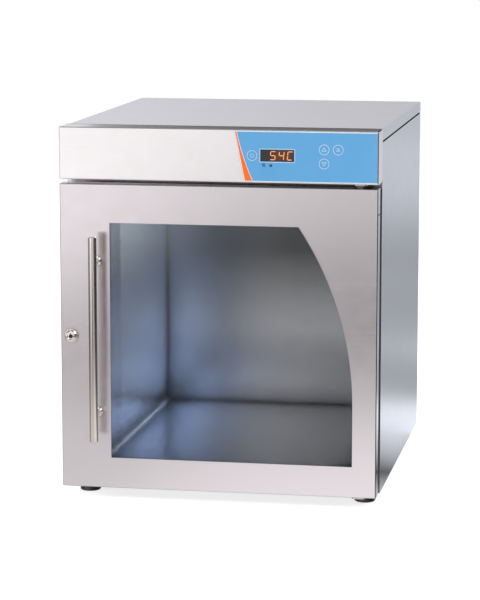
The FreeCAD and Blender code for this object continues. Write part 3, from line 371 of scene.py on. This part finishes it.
def from_lock(nodes):
    """Distance from the lock's axis."""
    x, _, z = nodes.split(nodes.place())[:3]
    across, up = nodes.math("SUBTRACT", x, LOCK.x), nodes.math("SUBTRACT", z, LOCK.z)
    return nodes.math("SQRT", nodes.math("ADD", nodes.product(across, across), nodes.product(up, up)))


def painted_keyway_shade(nodes):
    """Painted shade: the round keyway is painted dark, as hardly any light gets into it."""
    return nodes.grey(nodes.spread(from_lock(nodes), 0.10, 1.0, KEYWAY_RADIUS, KEYWAY_RADIUS + 0.0004))


def domed(nodes):
    """The lock's face is turned to a flat cone that catches light all round."""
    return nodes.bump(nodes.math("MULTIPLY", from_lock(nodes), CONE_SLOPE), 1.0, 1.0)


def spangled(name, colour, roughness):
    """Galvanised sheet with its patchwork of zinc crystals."""
    nodes = Nodes(name)
    cells = nodes.add("ShaderNodeTexVoronoi")
    nodes.join(nodes.place(), cells.inputs["Vector"])
    cells.inputs["Scale"].default_value = 120.0
    value = nodes.split(cells.outputs["Color"])[0]
    colours = nodes.mix(value, shade(colour, 0.85), shade(colour, 1.12))
    fine = nodes.noise(nodes.place(), 400.0, 3.0)
    nodes.principled(base_color=colours, metallic=1.0,
                     roughness=nodes.spread(value, roughness - 0.08, roughness + 0.1, 0.0, 1.0),
                     normal=nodes.bump(fine, 0.05, 0.0003))
    return nodes.material


def moulded(name, colour, roughness, grain=900.0, depth=0.12, tone=0.12, **values):
    """Moulded plastic, rubber, silicone or coated surface with a fine grain and uneven sheen."""
    nodes = Nodes(name)
    fine = nodes.noise(nodes.place(), grain, 3.0, 0.6)
    broad = nodes.noise(nodes.place(), 22.0, 3.0, 0.55)
    colours = nodes.mix(nodes.spread(broad, 0.0, 1.0, 0.3, 0.7),
                        shade(colour, 1 - tone), shade(colour, 1 + tone))
    nodes.principled(base_color=colours, roughness=nodes.spread(broad, roughness - 0.06, roughness + 0.06),
                     normal=nodes.bump(fine, depth, 0.0003), **values)
    return nodes.material


def fibrous(name, colour):
    """Mineral wool: matted yellowish fibres."""
    nodes = Nodes(name)
    threads = nodes.noise(nodes.scaled(nodes.place(), (60.0, 60.0, 260.0)), 1.0, 5.0, 0.75)
    tufts = nodes.noise(nodes.place(), 90.0, 4.0, 0.7)
    colours = nodes.mix(nodes.spread(threads, 0.0, 1.0, 0.3, 0.7), shade(colour, 0.7), shade(colour, 1.2))
    first = nodes.bump(tufts, 0.6, 0.003)
    nodes.principled(base_color=colours, roughness=0.95, normal=nodes.bump(threads, 0.7, 0.001, first))
    return nodes.material


def circuit(name):
    """Circuit board: green solder mask with fine copper tracks under it."""
    nodes = Nodes(name)
    bricks = nodes.add("ShaderNodeTexBrick")
    turned_place = nodes.add("ShaderNodeMapping")
    nodes.join(nodes.place(), turned_place.inputs["Vector"])
    turned_place.inputs["Rotation"].default_value = (math.radians(90), 0.0, 0.0)
    nodes.join(turned_place.outputs[0], bricks.inputs["Vector"])
    bricks.inputs["Scale"].default_value = 140.0
    bricks.inputs["Mortar Size"].default_value = 0.03
    colours = nodes.mix(bricks.outputs["Fac"], linear(22, 84, 46), linear(70, 140, 80))
    fine = nodes.noise(nodes.place(), 300.0, 3.0)
    nodes.principled(base_color=colours, roughness=nodes.spread(fine, 0.25, 0.4),
                     normal=nodes.bump(fine, 0.08, 0.0002))
    return nodes.material


# painted reflection: the glass's own mirroring is multiplied by the gain and by a share by x and by z
PAINTED_HAZE_GAIN = 2.1
PAINTED_HAZE_ACROSS = ((-0.22, 1.0), (-0.165, 0.66), (-0.085, 0.28), (0.0, 0.11), (0.10, 0.03), (0.25, 0.03))
PAINTED_HAZE_UP = ((0.05, 0.30), (0.25, 0.42), (0.40, 0.72), (0.48, 1.0), (0.60, 1.0))


def glazing(name):
    """Clear glass that lets the lamps light what is behind it. It mirrors the room, with a painted bluish
    haze of reflection that is strongest by the handle and towards the top."""
    nodes = Nodes(name)
    smears = nodes.noise(nodes.place(), 9.0, 4.0, 0.6)
    x, _, z = nodes.split(nodes.place())[:3]
    clear = nodes.add("ShaderNodeBsdfTransparent")
    nodes.join(nodes.mix(smears, (0.995, 0.998, 0.997, 1.0), (0.988, 0.993, 0.992, 1.0)),
               clear.inputs["Color"])
    mirror = nodes.add("ShaderNodeBsdfGlossy")
    mirror.inputs["Color"].default_value = (0.80, 0.91, 1.0, 1.0)
    nodes.join(nodes.spread(smears, 0.02, 0.06), mirror.inputs["Roughness"])
    fresnel = nodes.add("ShaderNodeFresnel")
    fresnel.inputs["IOR"].default_value = 1.5
    share = nodes.product(fresnel.outputs[0], PAINTED_HAZE_GAIN, nodes.curve(x, PAINTED_HAZE_ACROSS),
                          nodes.curve(z, PAINTED_HAZE_UP))
    both = nodes.add("ShaderNodeMixShader")
    nodes.join(share, both.inputs[0])
    nodes.join(clear.outputs[0], both.inputs[1])
    nodes.join(mirror.outputs[0], both.inputs[2])
    nodes.join(both.outputs[0], nodes.output.inputs["Surface"])
    return nodes.material


EDGE_LINE = 0.0010            # pale line on either side of the orange stripe
STRIPE_TOP = 0.0034           # slanted edge to the stripe's far side at the overlay's top
STRIPE_GROWTH = 0.0115        # how much further that is at the bottom
OVERLAY_MARGIN = 0.0012       # pale margin along the overlay's top and bottom


def printed_overlay(name):
    """Blue polyester overlay with a plain slanted orange stripe between pale margins."""
    nodes = Nodes(name)
    x, _, z = nodes.split(nodes.place())[:3]
    low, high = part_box("membrane_overlay")
    slope = OVERLAY_SLANT / (high.z - low.z)
    edge = nodes.math("SUBTRACT", x, low.x + OVERLAY_SLANT)
    drop = nodes.math("MULTIPLY", nodes.math("SUBTRACT", z, low.z), slope)
    reach = nodes.math("ADD", edge, drop)                    # distance from the slanted left edge

    def after(distance):
        return nodes.math("GREATER_THAN", reach, distance)

    blue = nodes.mix(nodes.spread(nodes.noise(nodes.place(), 14.0, 3.0), 0.0, 1.0),
                     linear(96, 161, 210), linear(102, 166, 215))
    orange = nodes.mix(nodes.noise(nodes.place(), 30.0), linear(240, 104, 24), linear(246, 118, 36))
    pale = linear(222, 232, 242)
    depth = nodes.spread(z, 0.0, 1.0, high.z, low.z)
    wider = nodes.math("MULTIPLY", nodes.product(depth, depth), STRIPE_GROWTH)
    stripe = nodes.math("ADD", STRIPE_TOP, wider)
    colours = nodes.mix(after(EDGE_LINE), pale, orange)
    colours = nodes.mix(after(stripe), colours, pale)
    colours = nodes.mix(after(nodes.math("ADD", stripe, EDGE_LINE)), colours, blue)
    inside = nodes.math("MULTIPLY", nodes.math("LESS_THAN", z, high.z - OVERLAY_MARGIN),
                        nodes.math("GREATER_THAN", z, low.z + OVERLAY_MARGIN))
    colours = nodes.mix(inside, pale, colours)
    fine = nodes.noise(nodes.place(), 1600.0, 2.0)
    nodes.principled(base_color=colours, roughness=nodes.spread(fine, 0.32, 0.44),
                     normal=nodes.bump(fine, 0.06, 0.0002), specular_ior_level=0.2)
    return nodes.material


def lens(name):
    """Smoked lens, warmly lit from behind where the last three digits shine."""
    nodes = Nodes(name)
    x, _, z = nodes.split(nodes.place())[:3]
    low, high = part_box("display_window")
    width, middle = high.x - low.x, (low.z + high.z) / 2
    across = nodes.curve(x, ((low.x, 0.10), (low.x + 0.25 * width, 0.16), (low.x + 0.5 * width, 0.9),
                             (low.x + 0.85 * width, 0.8), (high.x, 0.05)))
    upward = nodes.curve(z, ((low.z, 0.1), (middle, 1.0), (high.z, 0.1)))
    fine = nodes.noise(nodes.place(), 500.0, 2.0)
    broad = nodes.noise(nodes.place(), 30.0, 2.0)
    nodes.principled(base_color=nodes.mix(broad, linear(22, 30, 36), linear(28, 36, 44)),
                     roughness=nodes.spread(fine, 0.16, 0.24), normal=nodes.bump(fine, 0.02, 0.0002),
                     emission_color=linear(255, 124, 20),
                     emission_strength=nodes.product(across, upward, 0.10))
    return nodes.material


def glowing(name, colour, strength):
    nodes = Nodes(name)
    fine = nodes.noise(nodes.place(), 700.0, 2.0)
    colours = nodes.mix(fine, shade(colour, 0.9), shade(colour, 1.05))
    nodes.principled(base_color=colours, roughness=0.35, emission_color=colours, emission_strength=strength)
    return nodes.material


MATERIALS = {
    "stainless_sheet": brushed("brushed_stainless_sheet", linear(230, 225, 228), 0.24,
                               painted_tints=(painted_rim_shadow, painted_dark_bends, painted_cool_sides)),
    "satin_stainless": brushed("satin_stainless_hood", linear(248, 246, 246), 0.25, depth=0.01, tone=0.006,
                               painted_tints=(painted_dark_folds, painted_dark_bends), painted_reflection_tints=(painted_dim_top,)),
    "liner_stainless": brushed("liner_stainless_sheet", linear(240, 241, 243), 0.24, spread=0.01,
                               reach=0.08, painted_tints=(painted_liner_shade,)),
    "galvanised_sheet": spangled("galvanised_steel", linear(178, 182, 186), 0.42),
    "brushed_bar": turned("brushed_round_bar", linear(226, 219, 213), 0.17,
                          (500.0, 500.0, 14.0), 0.02, 0.03),
    "polished_steel": turned("polished_steel_fittings", linear(250, 243, 234), 0.12,
                             depth=0.02, reach=0.003),
    "zinc_steel": turned("zinc_plated_steel", linear(196, 197, 200), 0.28),
    "black_aluminium": moulded("anodised_aluminium", linear(30, 31, 33), 0.42, metallic=1.0),
    "brass_metal": turned("brass_fittings", linear(212, 178, 104), 0.25),
    "black_rubber": moulded("black_rubber_feet", linear(16, 16, 17), 0.22, depth=0.04,
                            specular_ior_level=0.9),
    "grey_silicone": moulded("grey_silicone_gasket", linear(72, 74, 77), 0.6),
    "red_silicone": moulded("red_silicone_mats", linear(150, 52, 38), 0.62, 320.0, 0.3),
    "black_plastic": moulded("black_moulded_plastic", linear(30, 30, 32), 0.45),
    "grey_cable": moulded("grey_ribbon_cable", linear(150, 152, 156), 0.5),
    "green_board": circuit("circuit_board"),
    "blue_overlay": printed_overlay("printed_polyester_overlay"),
    "key_face": moulded("blue_key_caps", linear(97, 160, 206), 0.42, 1600.0, 0.05, 0.03,
                        specular_ior_level=0.2),
    "display_lens": lens("smoked_display_lens"),
    "mineral_wool": fibrous("mineral_wool_batts", linear(196, 182, 120)),
    "clear_glass": glazing("clear_float_glass"),
}

OWN_MATERIALS = {
    "door_pan": brushed("door_pan_sheet", linear(216, 216, 219), 0.26, spread=0.01,
                        painted_tints=(painted_pan_rim_shadow,)),
    "lock_plug": turned("turned_lock_plug", linear(252, 246, 238), 0.16, depth=0.02, reach=0.002,
                        painted_tints=(painted_keyway_shade,), shape=domed),
    "lock_housing": turned("turned_lock_housing", linear(248, 241, 232), 0.16, depth=0.02, reach=0.006,
                           shape=domed),
    "hinge_washers": turned("dull_steel_washers", linear(128, 122, 116), 0.35),
}

for node_name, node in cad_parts.items():
    for slot in node.material_slots:
        slot.material = OWN_MATERIALS.get(node_name, MATERIALS[slot.material.name.split(".")[0]])


# ---------------------------------------------------------------- thin printed and lit shapes
def new_mesh(name, points, faces, material, body=None):
    mesh = bpy.data.meshes.new(name)
    mesh.from_pydata(points, [], faces)
    mesh.materials.append(material)
    mesh.validate()
    obj = bpy.data.objects.new(name, mesh)
    bpy.context.scene.collection.objects.link(obj)
    if body:
        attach(obj, body)
    return obj


class Sheets:
    """Collects flat outlines on the panel, each extruded towards the user, as one mesh."""

    def __init__(self, front):
        self.front, self.points, self.faces = front, [], []

    def slab(self, outline):
        """A filled outline of (x, z) points, anticlockwise as the user sees it."""
        start, count = len(self.points), len(outline)
        for y in (self.front + INK, self.front - INK):
            self.points += [(x, y, z) for x, z in outline]
        self.faces.append([start + count + i for i in range(count)])
        self.faces.append([start + i for i in reversed(range(count))])
        for i in range(count):
            j = (i + 1) % count
            self.faces.append([start + i, start + j, start + count + j, start + count + i])

    def band(self, inner, outer, closed=True):
        """A band between two lines of equally many (x, z) points."""
        count = len(inner)
        for i in range(count if closed else count - 1):
            j = (i + 1) % count
            self.slab([outer[i], outer[j], inner[j], inner[i]])

    def arc(self, centre, radius, width, start=0.0, end=360.0, count=40):
        closed = abs(end - start) >= 360
        steps = count if closed else count + 1
        turns = [math.radians(start + (end - start) * i / count) for i in range(steps)]
        rings = [[(centre[0] + r * math.cos(t), centre[1] + r * math.sin(t)) for t in turns]
                 for r in (radius - width / 2, radius + width / 2)]
        self.band(rings[0], rings[1], closed)

    def line(self, start, end, width):
        across = Vector((end[1] - start[1], start[0] - end[0])).normalized() * width / 2
        self.slab([(start[0] + across.x, start[1] + across.y), (end[0] + across.x, end[1] + across.y),
                   (end[0] - across.x, end[1] - across.y), (start[0] - across.x, start[1] - across.y)])

    def triangle(self, corners, width):
        """The line round a triangle of anticlockwise (x, z) corners, with mitred corners."""
        points = [Vector(corner) for corner in corners]
        opposite = [(points[i - 1] - points[i - 2]).length for i in range(3)]
        centre = sum((p * side for p, side in zip(points, opposite)), Vector((0, 0))) / sum(opposite)
        inradius = (points[1] - points[0]).cross(points[2] - points[0]) / sum(opposite)
        inner, outer = ([tuple(centre + (p - centre) * (1 + way * width / 2 / inradius)) for p in points]
                        for way in (-1, 1))
        self.band(inner, outer)

    def made(self, name, material, body, slot):
        new_mesh(name, self.points, self.faces, material, body)


def rounded(low, high, radius, steps=6):
    """Outline of a rectangle with rounded corners, anticlockwise."""
    corners = ((high[0] - radius, low[1] + radius, -90), (high[0] - radius, high[1] - radius, 0),
               (low[0] + radius, high[1] - radius, 90), (low[0] + radius, low[1] + radius, 180))
    turns = [(x, z, math.radians(a + 90 * i / steps)) for x, z, a in corners for i in range(steps + 1)]
    return [(x + radius * math.cos(t), z + radius * math.sin(t)) for x, z, t in turns]


ink_pale = moulded("pale_printing_ink", linear(188, 214, 238), 0.5, 1400.0, 0.05, 0.03)
ink_navy = moulded("navy_printing_ink", linear(24, 62, 104), 0.5, 1400.0, 0.05, 0.05)
lit = glowing("lit_amber_segments", linear(250, 158, 84), 0.62)
unlit = moulded("unlit_segments", linear(40, 36, 34), 0.35, 900.0, 0.03, 0.1)

# display frame
FRAME_GAP, FRAME_WIDTH = 0.0008, 0.0011        # lens to the line, and the line's width
FRAME_INNER, FRAME_OUTER = 0.0012, 0.0022      # corner radii
lens_low, lens_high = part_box("display_window")
outline = Sheets(OVERLAY_FRONT)
outline.band(rounded((lens_low.x - FRAME_GAP, lens_low.z - FRAME_GAP),
                     (lens_high.x + FRAME_GAP, lens_high.z + FRAME_GAP), FRAME_INNER),
             rounded((lens_low.x - FRAME_GAP - FRAME_WIDTH, lens_low.z - FRAME_GAP - FRAME_WIDTH),
                     (lens_high.x + FRAME_GAP + FRAME_WIDTH, lens_high.z + FRAME_GAP + FRAME_WIDTH),
                     FRAME_OUTER))
outline.made("display_frame_print", ink_pale, "cabinet", "blue_overlay")

# seven-segment digits: one blank, then a number and its unit
DIGIT_HEIGHT, DIGIT_WIDTH, STROKE, SLANT = 0.0150, 0.0088, 0.0013, 0.10
# from the lens's left end to the first digit's middle, and from one digit to the next
FIRST_DIGIT, DIGIT_PITCH = 0.0071, 0.016
SEGMENT_GAP = 0.00035                          # taken off each end of a segment
SEGMENTS = {"a": ((0, 2), (1, 2)), "b": ((1, 1), (1, 2)), "c": ((1, 0), (1, 1)), "d": ((0, 0), (1, 0)),
            "e": ((0, 0), (0, 1)), "f": ((0, 1), (0, 2)), "g": ((0, 1), (1, 1))}
SHOWN = ("", "acdfg", "bcfg", "adef")
display_z = (lens_low.z + lens_high.z) / 2
lit_parts, unlit_parts = Sheets(LENS_FRONT), Sheets(LENS_FRONT)
for index, shown in enumerate(SHOWN):
    left = lens_low.x + FIRST_DIGIT + DIGIT_PITCH * index - DIGIT_WIDTH / 2

    def at(cell):
        x, z = left + DIGIT_WIDTH * cell[0], display_z + DIGIT_HEIGHT * (cell[1] - 1) / 2
        return Vector((x + SLANT * (z - display_z), z))

    for key, (first, second) in SEGMENTS.items():
        a, b = at(first), at(second)
        along = (b - a).normalized()
        side = Vector((along.y, -along.x)) * STROKE / 2
        a, b = a + along * SEGMENT_GAP, b - along * SEGMENT_GAP
        tip = along * STROKE / 2
        shape = [a, a + tip + side, b - tip + side, b, b - tip - side, a + tip - side]
        (lit_parts if key in shown else unlit_parts).slab([tuple(p) for p in shape])
lit_parts.made("lit_digit_segments", lit, "cabinet", "display_lens")
unlit_parts.made("unlit_digit_segments", unlit, "cabinet", "display_lens")

# key symbols, which ride on their own keys
RING_INSET, RING_WIDTH, RING_STEPS = 0.0008, 0.0011, 56
POWER_RADIUS, POWER_STROKE = 0.0034, 0.0008
POWER_START, POWER_END, POWER_STEPS = 120, 420, 28      # degrees, and pieces of the open circle
POWER_BAR = (0.0008, 0.0046)                            # ends of the upright bar over the key's middle
BAR_HALF, BAR_PITCH, SYMBOL_STROKE = 0.0032, 0.0024, 0.0009
ARROW_HALF, ARROW_BASE, ARROW_TIP = 0.0038, 0.0026, 0.0036
for node_name, body in KEYS.items():
    low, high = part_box(node_name)
    cx, cz, radius = (low.x + high.x) / 2, (low.z + high.z) / 2, (high.x - low.x) / 2
    ring = Sheets(low.y)
    ring.arc((cx, cz), radius - RING_INSET, RING_WIDTH, count=RING_STEPS)
    if node_name == "power_key":
        ring.arc((cx, cz), POWER_RADIUS, POWER_STROKE, POWER_START, POWER_END, POWER_STEPS)
        ring.line((cx, cz + POWER_BAR[0]), (cx, cz + POWER_BAR[1]), POWER_STROKE)
    elif node_name == "set_key":
        for row in (-1, 0, 1):
            z = cz + row * BAR_PITCH
            ring.line((cx - BAR_HALF, z), (cx + BAR_HALF, z), SYMBOL_STROKE)
    else:
        way = 1 if node_name == "up_key" else -1
        base = cz - way * ARROW_BASE
        corners = [(cx - ARROW_HALF, base), (cx + ARROW_HALF, base), (cx, cz + way * ARROW_TIP)]
        ring.triangle(corners[::way], SYMBOL_STROKE)
    ring.made(node_name + "_symbol", ink_pale, body, "key_face")

# two small lamps' symbols under the display: heating, and keys locked
HEAT_PLACE = (0.0062, 0.0100)                  # from the lens's left end, and below its lower edge
HEAT_PITCH, HEAT_SWAY, HEAT_STEP, HEAT_STROKE = 0.0020, 0.0005, 0.0008, 0.0012
LOCK_OFFSET = 0.0132                           # heating symbol to the locked-keys symbol
LOCK_HALF, LOCK_BODY, LOCK_CORNER = 0.0026, 0.0036, 0.0005
SHACKLE_RADIUS, SHACKLE_STROKE = 0.0017, 0.0008
heat = Sheets(OVERLAY_FRONT)
heat_x, symbol_z = lens_low.x + HEAT_PLACE[0], lens_low.z - HEAT_PLACE[1]
for column in (-1, 0, 1):
    x = heat_x + column * HEAT_PITCH
    points = [(x + HEAT_SWAY * math.sin(i * math.pi / 4), symbol_z + i * HEAT_STEP) for i in range(9)]
    for a, b in zip(points, points[1:]):
        heat.line(a, b, HEAT_STROKE)
heat.made("heat_symbol", ink_navy, "cabinet", "blue_overlay")
lock_symbol = Sheets(OVERLAY_FRONT)
lock_x, lock_top = heat_x + LOCK_OFFSET, symbol_z + LOCK_BODY
lock_symbol.slab(rounded((lock_x - LOCK_HALF, symbol_z), (lock_x + LOCK_HALF, lock_top), LOCK_CORNER, 3))
lock_symbol.arc((lock_x, lock_top), SHACKLE_RADIUS, SHACKLE_STROKE, 0, 180, 14)
lock_symbol.made("key_lock_symbol", ink_navy, "cabinet", "blue_overlay")


# ---------------------------------------------------------------- studio
FLOOR_RADIUS = 7.0
WARM, COOL = (1.0, 0.972, 0.980, 1.0), (0.950, 0.972, 1.03, 1.0)     # painted reflection tint of the front and back of the studio
# painted reflection of the floor that metal sees: its level by distance from the object, by y and by x, in
# metres, and three dim patches with their centre, half their size and how much of the light they take
FLOOR_GAIN = 1.8
FLOOR_LEVELS = ((0.0, 0.75), (0.6, 0.72), (1.1, 0.66), (1.9, 0.335), (2.7, 0.45), (3.6, 0.72), (5.0, 1.0),
                (6.2, 0.50), (7.0, 0.48))
BEHIND = ((-7.0, 0.78), (0.2, 0.80), (0.54, 0.84), (0.9, 0.38), (1.5, 0.93), (2.15, 0.97), (3.0, 0.72),
          (4.0, 0.64), (5.2, 0.58), (6.2, 0.90), (7.0, 0.95))
FLOOR_ACROSS = ((-1.3, 0.95), (-0.9, 0.90), (-0.5, 0.82), (-0.33, 0.75), (-0.1, 0.90), (0.2, 1.0),
                (1.3, 0.96))
FRONT_PATCH = ((0.08, -2.95), (1.22, 1.75), 1.0)
FAR_PATCH = ((0.15, -5.6), (1.2, 1.6), 0.70)
REAR_PATCH = ((0.9, 3.5), (3.4, 3.4), 0.50)
RIGHT_SIDE, LEFT_SIDE = 0.10, 0.20             # what is left of the floor's level to the right and left
SEEN_FLOOR = 0.74                              # glow that keeps the floor white for the camera

# painted reflection of the room that metal sees: by height, and by x before and behind the object
ROOM_LEVELS = ((-1.0, 0.8), (0.0, 1.0), (0.22, 1.0), (0.42, 0.45), (0.7, 0.2), (1.0, 0.25))
ROOM_AHEAD = ((-1.0, 0.25), (-0.6, 0.9), (-0.3, 1.0), (-0.1, 0.9), (0.25, 0.5), (0.6, 0.14), (1.0, 0.06))
ROOM_BEHIND = ((-1.0, 0.25), (-0.3, 0.84), (-0.1, 0.66), (0.35, 0.6), (0.75, 0.3), (1.0, 0.08))
PAINTED_WINDOW_WAY, PAINTED_WINDOW_LEVEL = (0.60, -0.52, 0.61), 1.3      # the way to the painted bright window, and its level
SOFT_LIGHT, SOFT_RISE = 0.52, 0.14             # light on dull surfaces from the level, and more from above


def tinted(nodes, y):
    return nodes.mix(nodes.spread(y, 0.0, 1.0, -0.4, 0.4), WARM, COOL)


def patch(nodes, x, y, centre, half, depth):
    """1 away from a painted dim oval patch in the floor's reflection, less towards its middle."""
    across = nodes.math("DIVIDE", nodes.math("SUBTRACT", x, centre[0]), half[0])
    along = nodes.math("DIVIDE", nodes.math("SUBTRACT", y, centre[1]), half[1])
    squares = nodes.math("ADD", nodes.product(across, across), nodes.product(along, along))
    node = nodes.add("ShaderNodeMapRange", interpolation_type="SMOOTHSTEP")
    nodes.join(nodes.math("SQRT", squares), node.inputs["Value"])
    for key, number in (("From Min", 0.0), ("From Max", 1.0), ("To Min", 1.0 - depth), ("To Max", 1.0)):
        node.inputs[key].default_value = number
    return node.outputs[0]


def floor_material():
    """Pale floor. The camera sees it as white as the backdrop, apart from the shadow on it. Metal sees a
    painted reflection of it: lit round the object, dimmer further out and dark on the right, with a painted
    shadow under the object."""
    nodes = Nodes("pale_floor")
    ray = nodes.add("ShaderNodeLightPath")
    place = nodes.place()
    x, y = nodes.split(place)[:2]
    diffuse = nodes.add("ShaderNodeBsdfDiffuse")
    nodes.join(nodes.mix(nodes.noise(place, 3.0, 3.0), (0.80, 0.80, 0.80, 1.0), (0.83, 0.83, 0.83, 1.0)),
               diffuse.inputs["Color"])
    glow = nodes.add("ShaderNodeEmission")
    seen = nodes.math("MAXIMUM", ray.outputs["Is Camera Ray"], ray.outputs["Is Transmission Ray"])
    nodes.join(nodes.math("MULTIPLY", seen, SEEN_FLOOR), glow.inputs["Strength"])
    lit = nodes.add("ShaderNodeAddShader")
    nodes.join(diffuse.outputs[0], lit.inputs[0])
    nodes.join(glow.outputs[0], lit.inputs[1])

    distance = nodes.add("ShaderNodeVectorMath", operation="LENGTH")
    nodes.join(place, distance.inputs[0])
    # painted shadow of the object on the floor, seen only by metal
    outside = nodes.math("MAXIMUM", nodes.math("SUBTRACT", nodes.absolute(x), 0.30),
                         nodes.math("SUBTRACT", nodes.absolute(y), 0.33))
    ratio = nodes.math("DIVIDE", x, nodes.math("ADD", nodes.absolute(y), 0.3))
    level = nodes.product(FLOOR_GAIN, nodes.curve(distance.outputs["Value"], FLOOR_LEVELS),
                          nodes.math("MAXIMUM", nodes.spread(ratio, 1.0, RIGHT_SIDE, 0.45, 1.1),
                                     nodes.spread(y, 0.0, 1.0, 0.0, 0.5)),
                          nodes.spread(ratio, LEFT_SIDE, 1.0, -1.5, -0.6), nodes.curve(y, BEHIND),
                          patch(nodes, x, y, *FRONT_PATCH), patch(nodes, x, y, *FAR_PATCH),
                          patch(nodes, x, y, *REAR_PATCH),
                          nodes.curve(x, FLOOR_ACROSS),
                          nodes.spread(x, 1.40, 1.0, -1.2, -0.72),
                          nodes.spread(outside, 0.25, 1.0, -0.06, 0.06))
    painted_reflection = nodes.add("ShaderNodeEmission")
    nodes.join(tinted(nodes, y), painted_reflection.inputs["Color"])
    nodes.join(level, painted_reflection.inputs["Strength"])
    both = nodes.add("ShaderNodeMixShader")
    nodes.join(ray.outputs["Is Glossy Ray"], both.inputs[0])
    nodes.join(lit.outputs[0], both.inputs[1])
    nodes.join(painted_reflection.outputs[0], both.inputs[2])
    nodes.join(both.outputs[0], nodes.output.inputs["Surface"])
    return nodes.material


def studio_world():
    """White for the camera and soft grey light for surfaces. Metal sees painted reflections: a bright band
    above the floor, a dim ceiling, a dark right side and a bright window high at the front right."""
    nodes = Nodes("studio", world=True)
    x, y, z = nodes.split(nodes.add("ShaderNodeTexCoord").outputs["Generated"])[:3]
    by_height = nodes.curve(z, ROOM_LEVELS)
    ahead = nodes.curve(x, ROOM_AHEAD)
    behind = nodes.curve(x, ROOM_BEHIND)
    rear = nodes.spread(y, 0.0, 1.0, -0.15, 0.15)
    sideways = nodes.math("ADD", nodes.product(behind, rear), nodes.product(ahead, nodes.rest(rear)))
    parts = [nodes.math("MULTIPLY", part, way) for part, way in zip((x, y, z), PAINTED_WINDOW_WAY)]
    toward = nodes.math("ADD", parts[0], nodes.math("ADD", parts[1], parts[2]))
    painted_window = nodes.product(nodes.spread(toward, 0.0, PAINTED_WINDOW_LEVEL, 0.80, 0.92),
                           nodes.spread(z, 0.0, 1.0, 0.25, 0.35))
    ray = nodes.add("ShaderNodeLightPath")
    glossy = ray.outputs["Is Glossy Ray"]
    seen = nodes.math("MAXIMUM", ray.outputs["Is Camera Ray"], ray.outputs["Is Transmission Ray"])
    soft = nodes.math("ADD", SOFT_LIGHT, nodes.math("MULTIPLY", z, SOFT_RISE))
    light = nodes.math("ADD", nodes.product(soft, nodes.rest(glossy)),
                       nodes.product(nodes.math("MAXIMUM", nodes.product(by_height, sideways), painted_window),
                                     glossy))
    strength = nodes.math("ADD", nodes.product(light, nodes.rest(seen)), seen)
    background = nodes.add("ShaderNodeBackground")
    nodes.join(strength, background.inputs["Strength"])
    nodes.join(nodes.mix(glossy, WHITE, tinted(nodes, y)), background.inputs["Color"])
    nodes.join(background.outputs[0], nodes.output.inputs["Surface"])
    bpy.context.scene.world = nodes.material


def lamp(name, place, target, size, power):
    light = bpy.data.lights.new(name, "AREA")
    light.shape = "RECTANGLE"
    light.size, light.size_y = size
    light.energy = power
    obj = bpy.data.objects.new(name, light)
    bpy.context.scene.collection.objects.link(obj)
    obj.location = place
    obj.rotation_euler = (Vector(target) - Vector(place)).to_track_quat("-Z", "Y").to_euler()


CAMERA_LENS, CAMERA_SENSOR = 147.3, 36.0       # millimetres
CAMERA_PLACE = (0.8411, -4.7651, 1.1238)
CAMERA_TILT, CAMERA_TURN = 80.807, 10.207      # degrees

studio_world()
turns = 96                                     # corners of the floor's round outline
angles = [2 * math.pi * i / turns for i in range(turns)]
rim = [(FLOOR_RADIUS * math.cos(angle), FLOOR_RADIUS * math.sin(angle), 0.0) for angle in angles]
new_mesh("studio_floor", rim, [list(range(turns))], floor_material())
lamp("key_softbox", (1.5, -3.2, 2.2), (0.0, 0.0, 0.3), (1.6, 1.2), 55.0)
lamp("fill_softbox", (-2.6, -1.8, 1.5), (0.0, 0.0, 0.3), (1.4, 1.4), 16.0)
lamp("top_softbox", (-0.3, 0.5, 2.8), (0.0, 0.0, 0.4), (1.8, 1.8), 16.0)

camera_data = bpy.data.cameras.new("camera")
camera_data.lens = CAMERA_LENS
camera_data.sensor_width = CAMERA_SENSOR
camera = bpy.data.objects.new("camera", camera_data)
camera.location = CAMERA_PLACE
camera.rotation_euler = (math.radians(CAMERA_TILT), 0.0, math.radians(CAMERA_TURN))
bpy.context.scene.collection.objects.link(camera)
bpy.context.scene.camera = camera
bpy.context.scene.view_settings.view_transform = "Standard"
